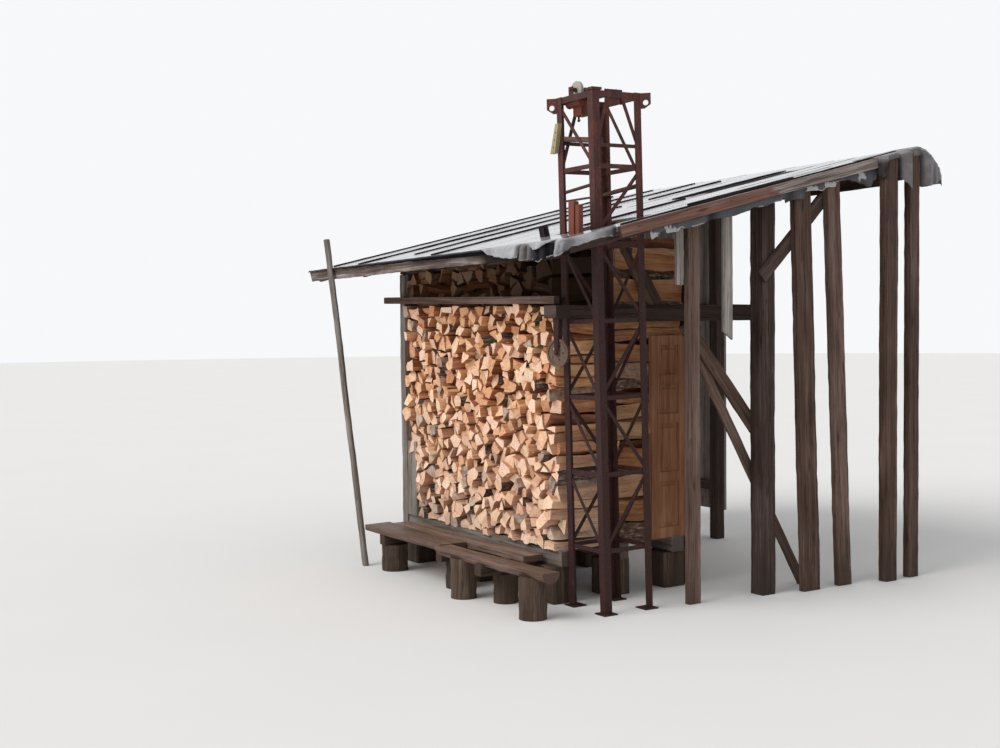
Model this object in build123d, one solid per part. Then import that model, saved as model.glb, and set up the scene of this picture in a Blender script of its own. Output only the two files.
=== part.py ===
from build123d import *
import math
import os
import random

# Log store: a lean-to roof on old timbers over a wall of split firewood,
# with a steel lattice mast that stands at its front right corner.
# Millimetres. X runs right along the front, Y to the back, Z up.
# The origin is at ground level under the front right corner of the firewood.

# Driving dimensions

# Firewood
STACK_LENGTH = 2085
LOW_COURSES_SHORT_BY = 140
STACK_BASE = 370
FRONT_ROW_DEPTH = 500
FRONT_ROW_TOP = 2020
LOOSE_END = 60
LOOSE_BACK = 60
REAR_ROW_DEPTH = 647
ROW_GAP = 3
STACK_HEADROOM = 8
COURSE_COUNT = 11
REAR_COURSE_COUNT = 9
LOOSE_COURSE_COUNT = 3
LOG_COUNT = 10
REAR_LOG_COUNT = 3
LOOSE_LOG_COUNT = 9
LOG_END_STEP = 20
LEFT_END_STEP = 22
RIGHT_END_STEP = 30
NOTCH_WIDTH = 16
NOTCH_DEPTH = 16

# Roof
EAVE_Y = -390
HIGH_Y = 2830
ROOF_LEFT = -3050
ROOF_RIGHT = 700
ROOF_TOP_AT_EAVE = 2437
ROOF_RISE = 0.2375
ROOF_SIDE_RISE = 0.0175
RAFTER_WIDTH = 50
RAFTER_DEPTH = 70
RAFTER_PLACES = [-2950, -2130, -1400, -700, -40, 525]
RAFTER_HIGH_GAP = 20
DECK_THICKNESS = 22
FELT_THICKNESS = 5
FELT_OVERHANG = 12
COLLAR_WIDTH = 30
COLLAR_HEIGHT = 60
BATTEN_WIDTH = 32
BATTEN_HEIGHT = 12
SEAM_BOARD_WIDTH = 92
SEAM_BOARD_THICKNESS = 8
OFFCUT_HEIGHT = 70
OFFCUT_ENDS = [-68, -10]
OFFCUT_SIDES = [-72, -30]
FASCIA_THICKNESS = 22
EAVE_FASCIA_DROP = 58
VERGE_FASCIA_START = 400
VERGE_FASCIA_END = 2836
VERGE_FASCIA_DROP = 42
VERGE_PACKING_LENGTH = 236
VERGE_STRIP_DROP = 112
LEFT_VERGE_DROP = 60
FLAP_SHEET = 4
FLAP_LEFT = -310
FLAP_OUT = 46
FLAP_SIDE_OUT = 30
FLAP_DROP = 105
FLAP_COVER = 40
HIGH_FLAP_WIDTH = 220
HIGH_FLAP_COVER = 35
HIGH_FLAP_DROP = 215
HIGH_FLAP_GAP = 46
HIGH_FLAP_FALL = [(0, 0), (62, 8), (118, 26), (170, 62), (210, 116), (236, 186), (250, 265)]

# Timber frame
PLATE_DEPTH = 60
PLATE_WIDTH = 70
MID_PLATE_DEPTH = 90
CORNER_POST_WIDTH = 80
CORNER_POST_DEPTH = 120
CORNER_POST_FRONT = -12
CORNER_POST_GAP = 5
CLEAT_DEPTH = 84
CLEAT_SETBACK = 6
CLEAT_TOP = 980
PLATE_SETBACK = 10
PLATE_OVERRUN = 30
SILL_WIDTH = 110
SILL_HEIGHT = 110
SILL_OVERRUN = 55
REAR_SILL_SETBACK = 60
MIDDLE_SILL_Y = 470
PIER_SIZE = 210
PIER_CHAMFER = 14
REAR_POST_WIDTH = 80
REAR_POST_GAP = 12
RAIL_LEFT = -2360
RAIL_RIGHT = 75
RAIL_Z_LEFT = 2113
RAIL_Z_RIGHT = 2077
RAIL_HEIGHT = 52
RAIL_THICKNESS = 48
END_BEAM_THICKNESS = 42
END_BEAM_BOTTOM = 1925
END_BEAM_DEPTH = 118
END_BEAM_START = 30
END_BEAM_END = 1870
END_FACE_GAP = 8
END_BRACE_FOOT_Y = 860
END_BRACE_TOP_Y = 560
END_BRACE_RISE = 460

# Posts on the open right side
POST_LINE = 500
NEAR_POST_Y = 763
NEAR_POST_WIDTH = 100
NEAR_POST_THICKNESS = 50
BIG_POST_Y = 1381
BIG_POST_SIZE = 120
LEANING_POST_X = 669
LEANING_POST_THICKNESS = 52
THIRD_POST_TOP_Y = 1620
THIRD_POST_BOTTOM_Y = 1730
THIRD_POST_WIDTH = 160
FOURTH_POST_TOP_Y = 1921
FOURTH_POST_BOTTOM_Y = 2070
FOURTH_POST_WIDTH = 127
OUTER_POST_FACE = 716
FIFTH_POST_Y = 2448
FIFTH_POST_WIDTH = 115
FIFTH_POST_THICKNESS = 75
SIXTH_POST_Y = 2708
SIXTH_POST_WIDTH = 100
SIXTH_POST_THICKNESS = 60
HIGH_BEAM_WIDTH = 80
HIGH_BEAM_DEPTH = 110
BACK_POST_SIZE = 90
BACK_BOARD_RIGHT = -1340
BACK_BOARD_THICKNESS = 25
BACK_BOARD_BOTTOM = 250
BACK_INSET = 50
BACK_RAIL_HEIGHT = 80
BACK_RAIL_THICKNESS = 50
BACK_RAIL_PLACES = [420, 1980]

# Boards and braces
BOARD_THICKNESS = 22
BRACE_THICKNESS = 25
KNEE_WIDTH = 100
RAKING_WIDTH = 95
LEANING_WIDTH = 70
KNEE_LINE = [(1300, 2225), (2020, 2900)]
RAKING_LINE = [(740, 1905), (1470, 1050)]
LEANING_LINE = [(740, 1898), (1960, -160)]
HANGING_BACK_Y = 1090
HANGING_WIDTH = 85
HANGING_BOTTOM = 1795
SHORT_BOARD_Y = 590
SHORT_BOARD_WIDTH = 65
SHORT_BOARD_BOTTOM = 2170
HANGING_THICKNESS = 20
INNER_BRACE_WIDTH = 120
DOOR_BACK_GAP = 30
DOOR_WIDTH = 315
DOOR_TOP = 1825
DOOR_PANELS = [212, 212, 350, 330]
DOOR_THICKNESS = 35
DOOR_STILE = 68
DOOR_PANEL_RECESS = 10
DOOR_FIELD_MARGIN = 30
DOOR_FIELD_DEPTH = 3
DOOR_FIELD_BEVEL = 5

# Bench
BENCH_TOP = 330
PLANK_THICKNESS = 45
FRONT_PLANK_INSET = 55
FRONT_PLANK_SEAT = 70
FRONT_PLANK_SIDES = [-430, -205]
BACK_PLANK_INSET = 95
BACK_PLANK_RIGHT = -120
BACK_PLANK_SIDES = [-196, -30]
HALF_LOG_RADIUS = 70
HALF_LOG_GAP = 20
HALF_LOG_RIGHT = 470
HALF_LOG_LEFT_Y = -416
HALF_LOG_RIGHT_Y = -380
STUMP_RADIUS = 92
STUMP_PLACES = [(-560, -408), (270, -385)]
STUMP_TOP = 284
BEARER_SIZE = 80
BEARER_GAPS = [75, 12.5, 30]
BEARER_FRONT = -420
LONG_BEARER_FRONT = -480
BEARER_ROUNDS = [(-310, 100), (-255, 92), (-250, 86)]

# Prop pole
POLE_RADIUS = 25
POLE_FOOT_X = -2040
POLE_TOP_X = -2673
POLE_TOP_Z = 2620

# Lattice mast
MAST_SIZE = 400
MAST_FOOT_X = 80.6
MAST_FOOT_Y = 48.5
MAST_LEAN_X = -0.62
MAST_LEAN_Y = -0.888
MAST_OVER_ROOF = 889
LEG_WIDTH = 56
LEG_THICKNESS = 5
HEAD_DROP = 44
HEAD_BAY_HEIGHT = 446
BAY_PITCH = 505
BAY_COUNT = 5
STRUT_DEPTH = 30
BAR_THICKNESS = 6
DIAGONAL_WIDTH = 24
HEAD_BEAM_DEPTH = 42
HEAD_BEAM_THICKNESS = 8
FOOT_PLATE = 110
FOOT_PLATE_THICKNESS = 8
CAP_SIZE = 80
CAP_THICKNESS = 16
CAP_OVERHANG = 6
EAR_DROP = 2
EAR_LENGTH = 66
EAR_HEIGHT = 102
EAR_THICKNESS = 8
EAR_HOLE_RADIUS = 18
EAR_HOLE_REACH = 32
EAR_HOLE_DROP = 63
SHAFT_GAP = 28
ROOF_CASE_ENDS = [315, 375]
ROOF_CASE_SIDES = [-108, -68]
ROOF_CASE_TOP = 2715
SMALL_CASE_ENDS = [385, 425]
SMALL_CASE_SIDES = [-104, -70]
SMALL_CASE_TOP = 2690
PIPE_RADIUS = 11
PIPE_DROPS = [148, 116]
CROSS_BAR_WIDTH = 14
CROSS_BAR_DROP = 204
SHELF_WIDTH = 80
SHELF_THICKNESS = 34
SHELF_DROPS = [228, 281]
POLE_IN_MAST_RADIUS = 15
POLE_IN_MAST_SETBACK = 27
POLE_IN_MAST_DROPS = [148, 120]
CABLE_BOX_DEPTH = 32
CABLE_BOX_TOP_DROP = 131
CABLE_BOX_BOTTOM_DROP = 324
CABLE_BOX_HOLE_RADIUS = 6
HOIST_HEIGHT = 90
HOIST_ENDS = [105, 195]
HOIST_SIDES = [60, 140]
PAN_ENDS = [60, 215]
PAN_RADIUS = 34
PAN_SHEET = 4
GUSSET_SIDES = [114, 256]
GUSSET_DROP = 40
GUSSET_RISE = 14
ROLLER_RADIUS = 17
ROLLER_LENGTH = 36

# Pulleys
GUIDE_RADIUS = 95
GUIDE_HALF_WIDTH = 10
GUIDE_HUB_HALF = 14.5
GUIDE_HUB_RADIUS = 20
HEAD_RADIUS = 58
HEAD_HALF_WIDTH = 10
RIM_DEPTH = 15
GROOVE_DEPTH = 9
FLANGE_THICKNESS = 4
WEB_THICKNESS = 6
WEB_HOLES = 5
WEB_HOLE_RADIUS = 8
WEB_HOLE_CIRCLE = 48
RUNNING_CLEARANCE = 0.05
SIDE_PLAY = 0.5
GUIDE_X = 132
GUIDE_Y = -70
GUIDE_Z = 1723
GUIDE_TURN = 13
GUIDE_PIN_RADIUS = 8
FORK_THICKNESS = 5
FORK_FOOT_RADIUS = 16
PIN_HEAD_RADIUS = 13
PIN_HEAD_THICKNESS = 6
BLOCK_BOTTOM = 1955
BLOCK_TOP = 2042
BLOCK_FRONT = -108
SHEAVE_X = 155
SHEAVE_RISE = 79
SHEAVE_PIN_RADIUS = 9
SHEAVE_BEARER_Y = 110
SHEAVE_CHEEK_WIDTH = 44
SHEAVE_CHEEK_RISE = 18
SPACER_RADIUS = 14

# Seat clearance between pieces that only lie or lean on each other
SEAT = 0.3

FELT_TOP = DECK_THICKNESS + FELT_THICKNESS
SLOPE_ANGLE = math.degrees(math.atan(ROOF_RISE))
SLOPE_COS = math.cos(math.radians(SLOPE_ANGLE))
ROOF_LENGTH = (HIGH_Y - EAVE_Y) / SLOPE_COS
STACK_BACK = FRONT_ROW_DEPTH + ROW_GAP + REAR_ROW_DEPTH
REAR_POST_FRONT = STACK_BACK + REAR_POST_GAP
DOOR_NEAR = STACK_BACK - DOOR_BACK_GAP - DOOR_WIDTH
CORNER_POST_LEFT = -STACK_LENGTH - CORNER_POST_WIDTH - CORNER_POST_GAP
OVER_ROOF = ROOF_TOP_AT_EAVE + 1.2 * (HIGH_Y - EAVE_Y) * ROOF_RISE
CUT_REACH = 2 * (ROOF_RIGHT - ROOF_LEFT)
ROOF_AT_MAST = ROOF_TOP_AT_EAVE + (MAST_FOOT_Y - EAVE_Y) * ROOF_RISE
MAST_TOP = ROOF_AT_MAST + MAST_OVER_ROOF
HEAD_BEAM_BOTTOM = MAST_TOP - HEAD_DROP
HEAD_BAY = HEAD_BEAM_BOTTOM - HEAD_BAY_HEIGHT
LEVELS = [HEAD_BAY - i * BAY_PITCH for i in range(BAY_COUNT, -1, -1)]
INNER = LEG_THICKNESS
NEAR = INNER + BAR_THICKNESS + SEAT
FAR = MAST_SIZE - NEAR
SHEAVE_Y = (INNER + SEAT + HEAD_BEAM_THICKNESS + SHEAVE_BEARER_Y) / 2
SHEAVE_Z = HEAD_BEAM_BOTTOM + SHEAVE_RISE


def box(x0, x1, y0, y1, z0, z1):
    """A block between two corners."""
    centre = Pos((x0 + x1) / 2, (y0 + y1) / 2, (z0 + z1) / 2)
    return centre * Box(x1 - x0, y1 - y0, z1 - z0)


def bar(start, end, width, thickness, facing):
    """A straight bar of rectangular section; its thickness lies along facing."""
    start = Vector(*start)
    end = Vector(*end)
    run = end - start
    plane = Plane(origin=start, x_dir=Vector(*facing).cross(run), z_dir=run)
    return extrude(plane * Rectangle(width, thickness), run.length)


def rod(start, end, radius):
    """A straight round bar."""
    start = Vector(*start)
    run = Vector(*end) - start
    return extrude(Plane(origin=start, z_dir=run) * Circle(radius), run.length)


# The roof frame: u along the eave, v up the slope, w out of the roof; w = 0 is
# the underside of the deck.
_eave = Vector(ROOF_RIGHT, EAVE_Y, ROOF_TOP_AT_EAVE)
_across = Vector(1, 0, ROOF_SIDE_RISE)
_up_slope = Vector(0, 1, ROOF_RISE)
_normal = _across.cross(_up_slope).normalized()
ROOF = Plane(origin=_eave - _normal * FELT_TOP, x_dir=_up_slope.cross(_normal), z_dir=_normal)


def roof_box(x0, x1, v0, v1, w0, w1):
    """A block in the roof frame, with x measured from the building's origin."""
    return ROOF * Pos((x0 + x1) / 2 - ROOF_RIGHT, (v0 + v1) / 2, (w0 + w1) / 2) * Box(
        x1 - x0, v1 - v0, w1 - w0)


def up_slope(y):
    """Distance up the slope of a point that is y from the building's front."""
    return (y - EAVE_Y) / SLOPE_COS


def trim_under(shape, w):
    """Cuts off what rises above height w of the roof frame."""
    return shape - roof_box(-CUT_REACH, CUT_REACH, -CUT_REACH, CUT_REACH, w, w + CUT_REACH)


def trim_above(shape, w):
    """Cuts off what drops below height w of the roof frame."""
    return shape - roof_box(-CUT_REACH, CUT_REACH, -CUT_REACH, CUT_REACH, w - CUT_REACH, w)


def cut_at_ground(shape):
    """Cuts off what reaches below the ground."""
    return shape - box(-CUT_REACH, CUT_REACH, -CUT_REACH, CUT_REACH, -CUT_REACH, 0)


# Firewood

def course(rng, x0, x1, front, back, z0, z1, logs):
    """One course of split logs, laid with their cut ends to the front."""
    pitch = (x1 - x0) / logs
    half = NOTCH_WIDTH / 2
    groove = front + LOG_END_STEP + NOTCH_DEPTH
    points = []
    for i in range(logs):
        face = front + rng.uniform(-LOG_END_STEP, LOG_END_STEP)
        left = x0 + i * pitch
        if i:
            points.append((left, groove))
        points.append((left + (half if i else 0), face))
        points.append((left + pitch - (half if i < logs - 1 else 0), face))
    points += [(x1, back), (x0, back)]
    outline = make_face(Polyline(*points, close=True))
    return Pos(0, 0, z0) * extrude(outline, z1 - z0)


def stack(seed, front, back, bottom, top, courses, logs, right=0):
    """Courses piled up, each with its own length and its own uneven face."""
    rng = random.Random(seed)
    height = (top - bottom) / courses
    pile = None
    for i in range(courses):
        z0 = bottom + i * height
        x0 = -STACK_LENGTH + rng.uniform(0, LEFT_END_STEP)
        x1 = right - rng.uniform(0, RIGHT_END_STEP)
        layer = course(rng, x0, x1, front, back, z0, z0 + height, logs)
        pile = layer if pile is None else pile + layer
    return pile


def log_stack_front():
    """Front row; its lowest courses end short at the cleat."""
    pile = stack(7, 0, FRONT_ROW_DEPTH, STACK_BASE, FRONT_ROW_TOP, COURSE_COUNT, LOG_COUNT)
    return pile - box(-STACK_LENGTH - 1, -STACK_LENGTH + LOW_COURSES_SHORT_BY, -NOTCH_DEPTH * 2,
                      CORNER_POST_FRONT + CLEAT_SETBACK + CLEAT_DEPTH + 2, STACK_BASE, CLEAT_TOP)


def log_stack_rear():
    """Rear row, piled up to the rafters."""
    top = OVER_ROOF - (HIGH_Y - STACK_BACK) * ROOF_RISE
    pile = stack(11, FRONT_ROW_DEPTH + ROW_GAP + LOG_END_STEP, STACK_BACK, STACK_BASE, top,
                 REAR_COURSE_COUNT, REAR_LOG_COUNT)
    return trim_under(pile, -RAFTER_DEPTH - STACK_HEADROOM)


def loose_logs():
    """Loose logs on the front row, piled up to the wall plate."""
    top = OVER_ROOF - (HIGH_Y - FRONT_ROW_DEPTH) * ROOF_RISE
    pile = stack(19, LOG_END_STEP, FRONT_ROW_DEPTH - LOOSE_BACK, FRONT_ROW_TOP, top,
                 LOOSE_COURSE_COUNT, LOOSE_LOG_COUNT, -LOOSE_END)
    return trim_under(pile, -RAFTER_DEPTH - PLATE_DEPTH - STACK_HEADROOM)


# Base of the stack

SILL_LINES = [0, MIDDLE_SILL_Y, STACK_BACK - SILL_WIDTH - REAR_SILL_SETBACK]
PIER_PLACES = [-STACK_LENGTH + PIER_SIZE / 2, -STACK_LENGTH / 2, -PIER_SIZE / 2 + 20]

# The bench's bearers reach in beside the piers: two on the right of one, the last on the left
BEARER_PLACES = [PIER_PLACES[0] + PIER_SIZE / 2 + BEARER_GAPS[0],
                 PIER_PLACES[1] + PIER_SIZE / 2 + BEARER_GAPS[1],
                 PIER_PLACES[2] - PIER_SIZE / 2 - BEARER_GAPS[2] - BEARER_SIZE]
FRONT_PLANK_RIGHT = BEARER_PLACES[1] + FRONT_PLANK_SEAT
HALF_LOG_ENDS = [(FRONT_PLANK_RIGHT + HALF_LOG_GAP, HALF_LOG_LEFT_Y),
                 (HALF_LOG_RIGHT, HALF_LOG_RIGHT_Y)]


def sill_beams():
    beams = [box(-STACK_LENGTH, SILL_OVERRUN, y, y + SILL_WIDTH, STACK_BASE - SILL_HEIGHT,
                 STACK_BASE)
             for y in SILL_LINES]
    return Compound(beams)


def base_piers():
    """Rough square blocks; the front right one holds the origin."""
    top = STACK_BASE - SILL_HEIGHT
    blocks = []
    for y in SILL_LINES:
        for x in PIER_PLACES:
            middle = Vector(x, y + SILL_WIDTH / 2, 0)
            block = Pos(middle.X, middle.Y, top / 2) * Box(PIER_SIZE, PIER_SIZE - 10, top)
            blocks.append(chamfer(block.edges().filter_by(Axis.Z), PIER_CHAMFER))
    return Compound(blocks)


# Left corner and rear of the stack

def corner_post():
    """Post at the left end, with a short cleat that the lowest courses end at."""
    post = box(CORNER_POST_LEFT, CORNER_POST_LEFT + CORNER_POST_WIDTH, CORNER_POST_FRONT,
               CORNER_POST_FRONT + CORNER_POST_DEPTH, 0, OVER_ROOF)
    front = CORNER_POST_FRONT + CLEAT_SETBACK
    cleat = box(CORNER_POST_LEFT + CORNER_POST_WIDTH, -STACK_LENGTH + LOW_COURSES_SHORT_BY - 2,
                front, front + CLEAT_DEPTH, STACK_BASE + SEAT, CLEAT_TOP - STACK_HEADROOM)
    return trim_under(post, -RAFTER_DEPTH - PLATE_DEPTH) + cleat


def wall_plates():
    """Two beams under the rafters: one on the corner post, one on the rear posts."""
    left = CORNER_POST_LEFT - PLATE_OVERRUN
    mast_face = MAST_FOOT_X + ROOF_TOP_AT_EAVE * math.tan(math.radians(MAST_LEAN_X))
    front = box(left, mast_face - SEAT, PLATE_SETBACK, PLATE_SETBACK + PLATE_WIDTH, 0, OVER_ROOF)
    middle = REAR_POST_FRONT + REAR_POST_WIDTH / 2
    rear = box(left, END_FACE_GAP, middle - PLATE_WIDTH / 2, middle + PLATE_WIDTH / 2, 0,
               OVER_ROOF)
    front = trim_above(trim_under(front, -RAFTER_DEPTH), -RAFTER_DEPTH - PLATE_DEPTH)
    rear = trim_above(trim_under(rear, -RAFTER_DEPTH), -RAFTER_DEPTH - MID_PLATE_DEPTH)
    return Compound([front, rear])


def rear_posts():
    left = box(CORNER_POST_LEFT, CORNER_POST_LEFT + REAR_POST_WIDTH, REAR_POST_FRONT,
               REAR_POST_FRONT + REAR_POST_WIDTH, 0, OVER_ROOF)
    right = box(END_FACE_GAP - REAR_POST_WIDTH, END_FACE_GAP, REAR_POST_FRONT,
                REAR_POST_FRONT + REAR_POST_WIDTH, 0, OVER_ROOF)
    level = -RAFTER_DEPTH - MID_PLATE_DEPTH
    return Compound([trim_under(left, level), trim_under(right, level)])


def front_rail():
    y = CORNER_POST_FRONT - RAIL_THICKNESS / 2
    return bar((RAIL_LEFT, y, RAIL_Z_LEFT), (RAIL_RIGHT, y, RAIL_Z_RIGHT), RAIL_HEIGHT,
               RAIL_THICKNESS, (0, 1, 0))


# Right end of the stack

def end_beam():
    """Beam that holds the sawn faces back along the right end."""
    beam = box(END_FACE_GAP, END_FACE_GAP + END_BEAM_THICKNESS, END_BEAM_START, END_BEAM_END,
               END_BEAM_BOTTOM, END_BEAM_BOTTOM + END_BEAM_DEPTH)
    return chamfer(beam.edges().filter_by(Axis.Y), 4)


def end_brace():
    """Broad plank that rises from the end beam towards the roof."""
    x = END_FACE_GAP + BRACE_THICKNESS / 2
    foot = END_BEAM_BOTTOM + END_BEAM_DEPTH
    slope = (END_BRACE_FOOT_Y - END_BRACE_TOP_Y) / END_BRACE_RISE
    below = INNER_BRACE_WIDTH
    plank = bar((x, END_BRACE_FOOT_Y + slope * below, foot - below),
                (x, END_BRACE_TOP_Y, foot + END_BRACE_RISE), INNER_BRACE_WIDTH, BRACE_THICKNESS,
                (1, 0, 0))
    plank = plank - box(-CUT_REACH, CUT_REACH, 0, CUT_REACH, 0, foot)
    return trim_under(plank, -RAFTER_DEPTH)


def panel_door():
    """Old four-panel cupboard door that closes the rear row, stood on the rear sill."""
    x0 = END_FACE_GAP
    x1 = x0 + DOOR_THICKNESS
    y1 = DOOR_NEAR + DOOR_WIDTH
    door = box(x0, x1, DOOR_NEAR, y1, STACK_BASE, DOOR_TOP)
    z1 = DOOR_TOP - DOOR_STILE
    for height in DOOR_PANELS:
        z0 = z1 - height
        recess = box(x1 - DOOR_PANEL_RECESS, x1 + 1, DOOR_NEAR + DOOR_STILE, y1 - DOOR_STILE,
                     z0, z1)
        inset = DOOR_STILE + DOOR_FIELD_MARGIN
        raised = box(x1 - DOOR_PANEL_RECESS - 1, x1 - DOOR_FIELD_DEPTH, DOOR_NEAR + inset,
                     y1 - inset, z0 + DOOR_FIELD_MARGIN, z1 - DOOR_FIELD_MARGIN)
        raised = chamfer(raised.faces().sort_by(Axis.X)[-1].edges(), DOOR_FIELD_BEVEL)
        door = door - recess + raised
        z1 = z0 - DOOR_STILE
    return door


# Bench

def bench_planks():
    low = BENCH_TOP - PLANK_THICKNESS
    front = box(-STACK_LENGTH + FRONT_PLANK_INSET, FRONT_PLANK_RIGHT, *FRONT_PLANK_SIDES, low,
                BENCH_TOP)
    back = box(-STACK_LENGTH + BACK_PLANK_INSET, BACK_PLANK_RIGHT, *BACK_PLANK_SIDES, low,
               BENCH_TOP)
    planks = [chamfer(plank.edges().filter_by(Axis.X), 4) for plank in (front, back)]
    return Compound(planks)


def half_log_trunk(clearance):
    """The whole trunk that the bench's half log was split from, with room round it."""
    start, end = HALF_LOG_ENDS
    return rod((*start, BENCH_TOP), (*end, BENCH_TOP), HALF_LOG_RADIUS + clearance)


def bench_half_log():
    """Half a trunk, flat side up."""
    above = box(-CUT_REACH, CUT_REACH, -CUT_REACH, 0, BENCH_TOP, BENCH_TOP + CUT_REACH)
    return half_log_trunk(0) - above


def bench_bearers():
    """Short beams from the sill out under the planks; the last one holds the half log."""
    low = BENCH_TOP - PLANK_THICKNESS - BEARER_SIZE
    high = BENCH_TOP - PLANK_THICKNESS
    left, middle, right = BEARER_PLACES
    beams = [box(x, x + BEARER_SIZE, BEARER_FRONT, -SEAT, low, high) for x in (left, middle)]
    long_one = box(right, right + BEARER_SIZE, LONG_BEARER_FRONT, -SEAT, low, high)
    beams.append(long_one - half_log_trunk(SEAT))
    return Compound(beams)


def bench_stumps():
    """Short rounds under the bearers, and saddled ones under the half log."""
    top = BENCH_TOP - PLANK_THICKNESS - BEARER_SIZE
    rounds = [Pos(x + BEARER_SIZE / 2, y, 0) * extrude(Circle(r), top)
              for x, (y, r) in zip(BEARER_PLACES, BEARER_ROUNDS)]
    trunk = half_log_trunk(SEAT)
    for x, y in STUMP_PLACES:
        rounds.append(Pos(x, y, 0) * extrude(Circle(STUMP_RADIUS), STUMP_TOP) - trunk)
    return Compound(rounds)


# Roof

def rafters():
    beams = []
    for x in RAFTER_PLACES:
        beams.append(roof_box(x - RAFTER_WIDTH / 2, x + RAFTER_WIDTH / 2, 2,
                              ROOF_LENGTH - RAFTER_HIGH_GAP, -RAFTER_DEPTH, 0))
    return Compound(beams)


def mast_hole():
    """Sides of the hole that the mast passes through: x, x, up the slope, up the slope."""
    shift_x = ROOF_AT_MAST * math.tan(math.radians(MAST_LEAN_X))
    shift_y = ROOF_AT_MAST * math.tan(math.radians(MAST_LEAN_Y))
    x0 = MAST_FOOT_X + shift_x - SHAFT_GAP
    y0 = MAST_FOOT_Y + shift_y - SHAFT_GAP
    span = MAST_SIZE + 2 * SHAFT_GAP
    return x0, x0 + span, up_slope(y0), up_slope(y0 + span)


def roof_deck():
    """Four panels around the mast."""
    x0, x1, v0, v1 = mast_hole()
    gap = SEAT / 2
    panels = [(ROOF_LEFT, x0, 0, ROOF_LENGTH), (x1, ROOF_RIGHT, 0, ROOF_LENGTH),
              (x0 + gap, x1 - gap, 0, v0), (x0 + gap, x1 - gap, v1, ROOF_LENGTH)]
    return Compound([roof_box(*panel, 0, DECK_THICKNESS) for panel in panels])


def roof_felt():
    """Felt sheet with an upstand folded up round the mast."""
    x0, x1, v0, v1 = mast_hole()
    sheet = roof_box(ROOF_LEFT - FELT_OVERHANG, ROOF_RIGHT, -FELT_OVERHANG, ROOF_LENGTH,
                     DECK_THICKNESS, FELT_TOP)
    rim = COLLAR_WIDTH
    sheet += roof_box(x0 - rim, x1 + rim, v0 - rim, v1 + rim, DECK_THICKNESS,
                      FELT_TOP + COLLAR_HEIGHT)
    return sheet - roof_box(x0, x1, v0, v1, 0, CUT_REACH)


# Place across, start and end up the slope
BATTENS = [(-2870, 120, 3180), (-2290, 60, 3200), (-1700, 260, 3200), (-1100, 2170, 2960),
           (-1130, 80, 1890), (-130, 760, 1700), (490, 1190, 2190), (640, 480, 3120)]
SEAM_BOARD = (-400, 1850, 2990)


def roof_battens():
    """Battens that hold the felt down, one flat board and an offcut by the mast."""
    strips = []
    for x, v0, v1 in BATTENS:
        strips.append(roof_box(x - BATTEN_WIDTH / 2, x + BATTEN_WIDTH / 2, v0, v1, FELT_TOP,
                               FELT_TOP + BATTEN_HEIGHT))
    x, v0, v1 = SEAM_BOARD
    strips.append(roof_box(x - SEAM_BOARD_WIDTH / 2, x + SEAM_BOARD_WIDTH / 2, v0, v1, FELT_TOP,
                           FELT_TOP + SEAM_BOARD_THICKNESS))
    near, far = (up_slope(y) for y in OFFCUT_SIDES)
    strips.append(roof_box(*OFFCUT_ENDS, near, far, FELT_TOP, FELT_TOP + OFFCUT_HEIGHT))
    return Compound(strips)


def eave_fascia():
    return roof_box(ROOF_LEFT - FASCIA_THICKNESS, ROOF_RIGHT - 4, -FASCIA_THICKNESS, 0,
                    -EAVE_FASCIA_DROP, DECK_THICKNESS)


def left_verge_board():
    return roof_box(ROOF_LEFT - FASCIA_THICKNESS, ROOF_LEFT, 0, ROOF_LENGTH,
                    -LEFT_VERGE_DROP, DECK_THICKNESS)


def verge_strip():
    """Strip of felt that hangs from the right edge of the deck."""
    start = VERGE_FASCIA_START + VERGE_PACKING_LENGTH + 4
    return roof_box(ROOF_RIGHT, ROOF_RIGHT + FELT_THICKNESS, start, VERGE_FASCIA_END,
                    -VERGE_STRIP_DROP, FELT_TOP)


def verge_fascia():
    x0 = ROOF_RIGHT + FELT_THICKNESS
    board = roof_box(x0, x0 + FASCIA_THICKNESS, VERGE_FASCIA_START, VERGE_FASCIA_END,
                     -VERGE_FASCIA_DROP, FELT_TOP + 2)
    packing = roof_box(ROOF_RIGHT, x0, VERGE_FASCIA_START,
                       VERGE_FASCIA_START + VERGE_PACKING_LENGTH, -VERGE_FASCIA_DROP, FELT_TOP)
    return board + packing


def curtain(points, bottom, top):
    """A standing sheet of loose felt that follows plan points, between two roof levels."""
    sheet = extrude(trace(Polyline(*points), FLAP_SHEET), OVER_ROOF)
    return trim_above(trim_under(sheet, top), bottom)


def wave(start, end, count, reach):
    """Plan points that swing to both sides of a line."""
    start = Vector(*start)
    end = Vector(*end)
    side = (end - start).normalized().rotate(Axis.Z, 90) * reach
    points = []
    for i in range(count + 1):
        point = start + (end - start) * (i / count) + side * (-1) ** i
        points.append((point.X, point.Y))
    return points


def up_to(v):
    """Y of a point that is v up the slope."""
    return EAVE_Y + v * SLOPE_COS


def felt_flap_front():
    """Loose felt that hangs over the eave and the verge at the front right corner."""
    front = EAVE_Y - FLAP_OUT
    side = ROOF_RIGHT + FLAP_SIDE_OUT
    top = FELT_TOP + FLAP_SHEET
    reach = VERGE_FASCIA_START - 5
    points = wave((FLAP_LEFT, front), (side - 12, front), 10, 7)
    points += wave((side, front + 14), (side, up_to(reach - 9)), 4, 5)
    drape = curtain(points, FELT_TOP - FLAP_DROP, top)
    cover = roof_box(FLAP_LEFT, side, -FLAP_OUT - 6, FLAP_COVER, FELT_TOP, top)
    cover += roof_box(ROOF_RIGHT - 30, side, -FLAP_OUT - 6, reach, FELT_TOP, top)
    return cover + drape


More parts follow.
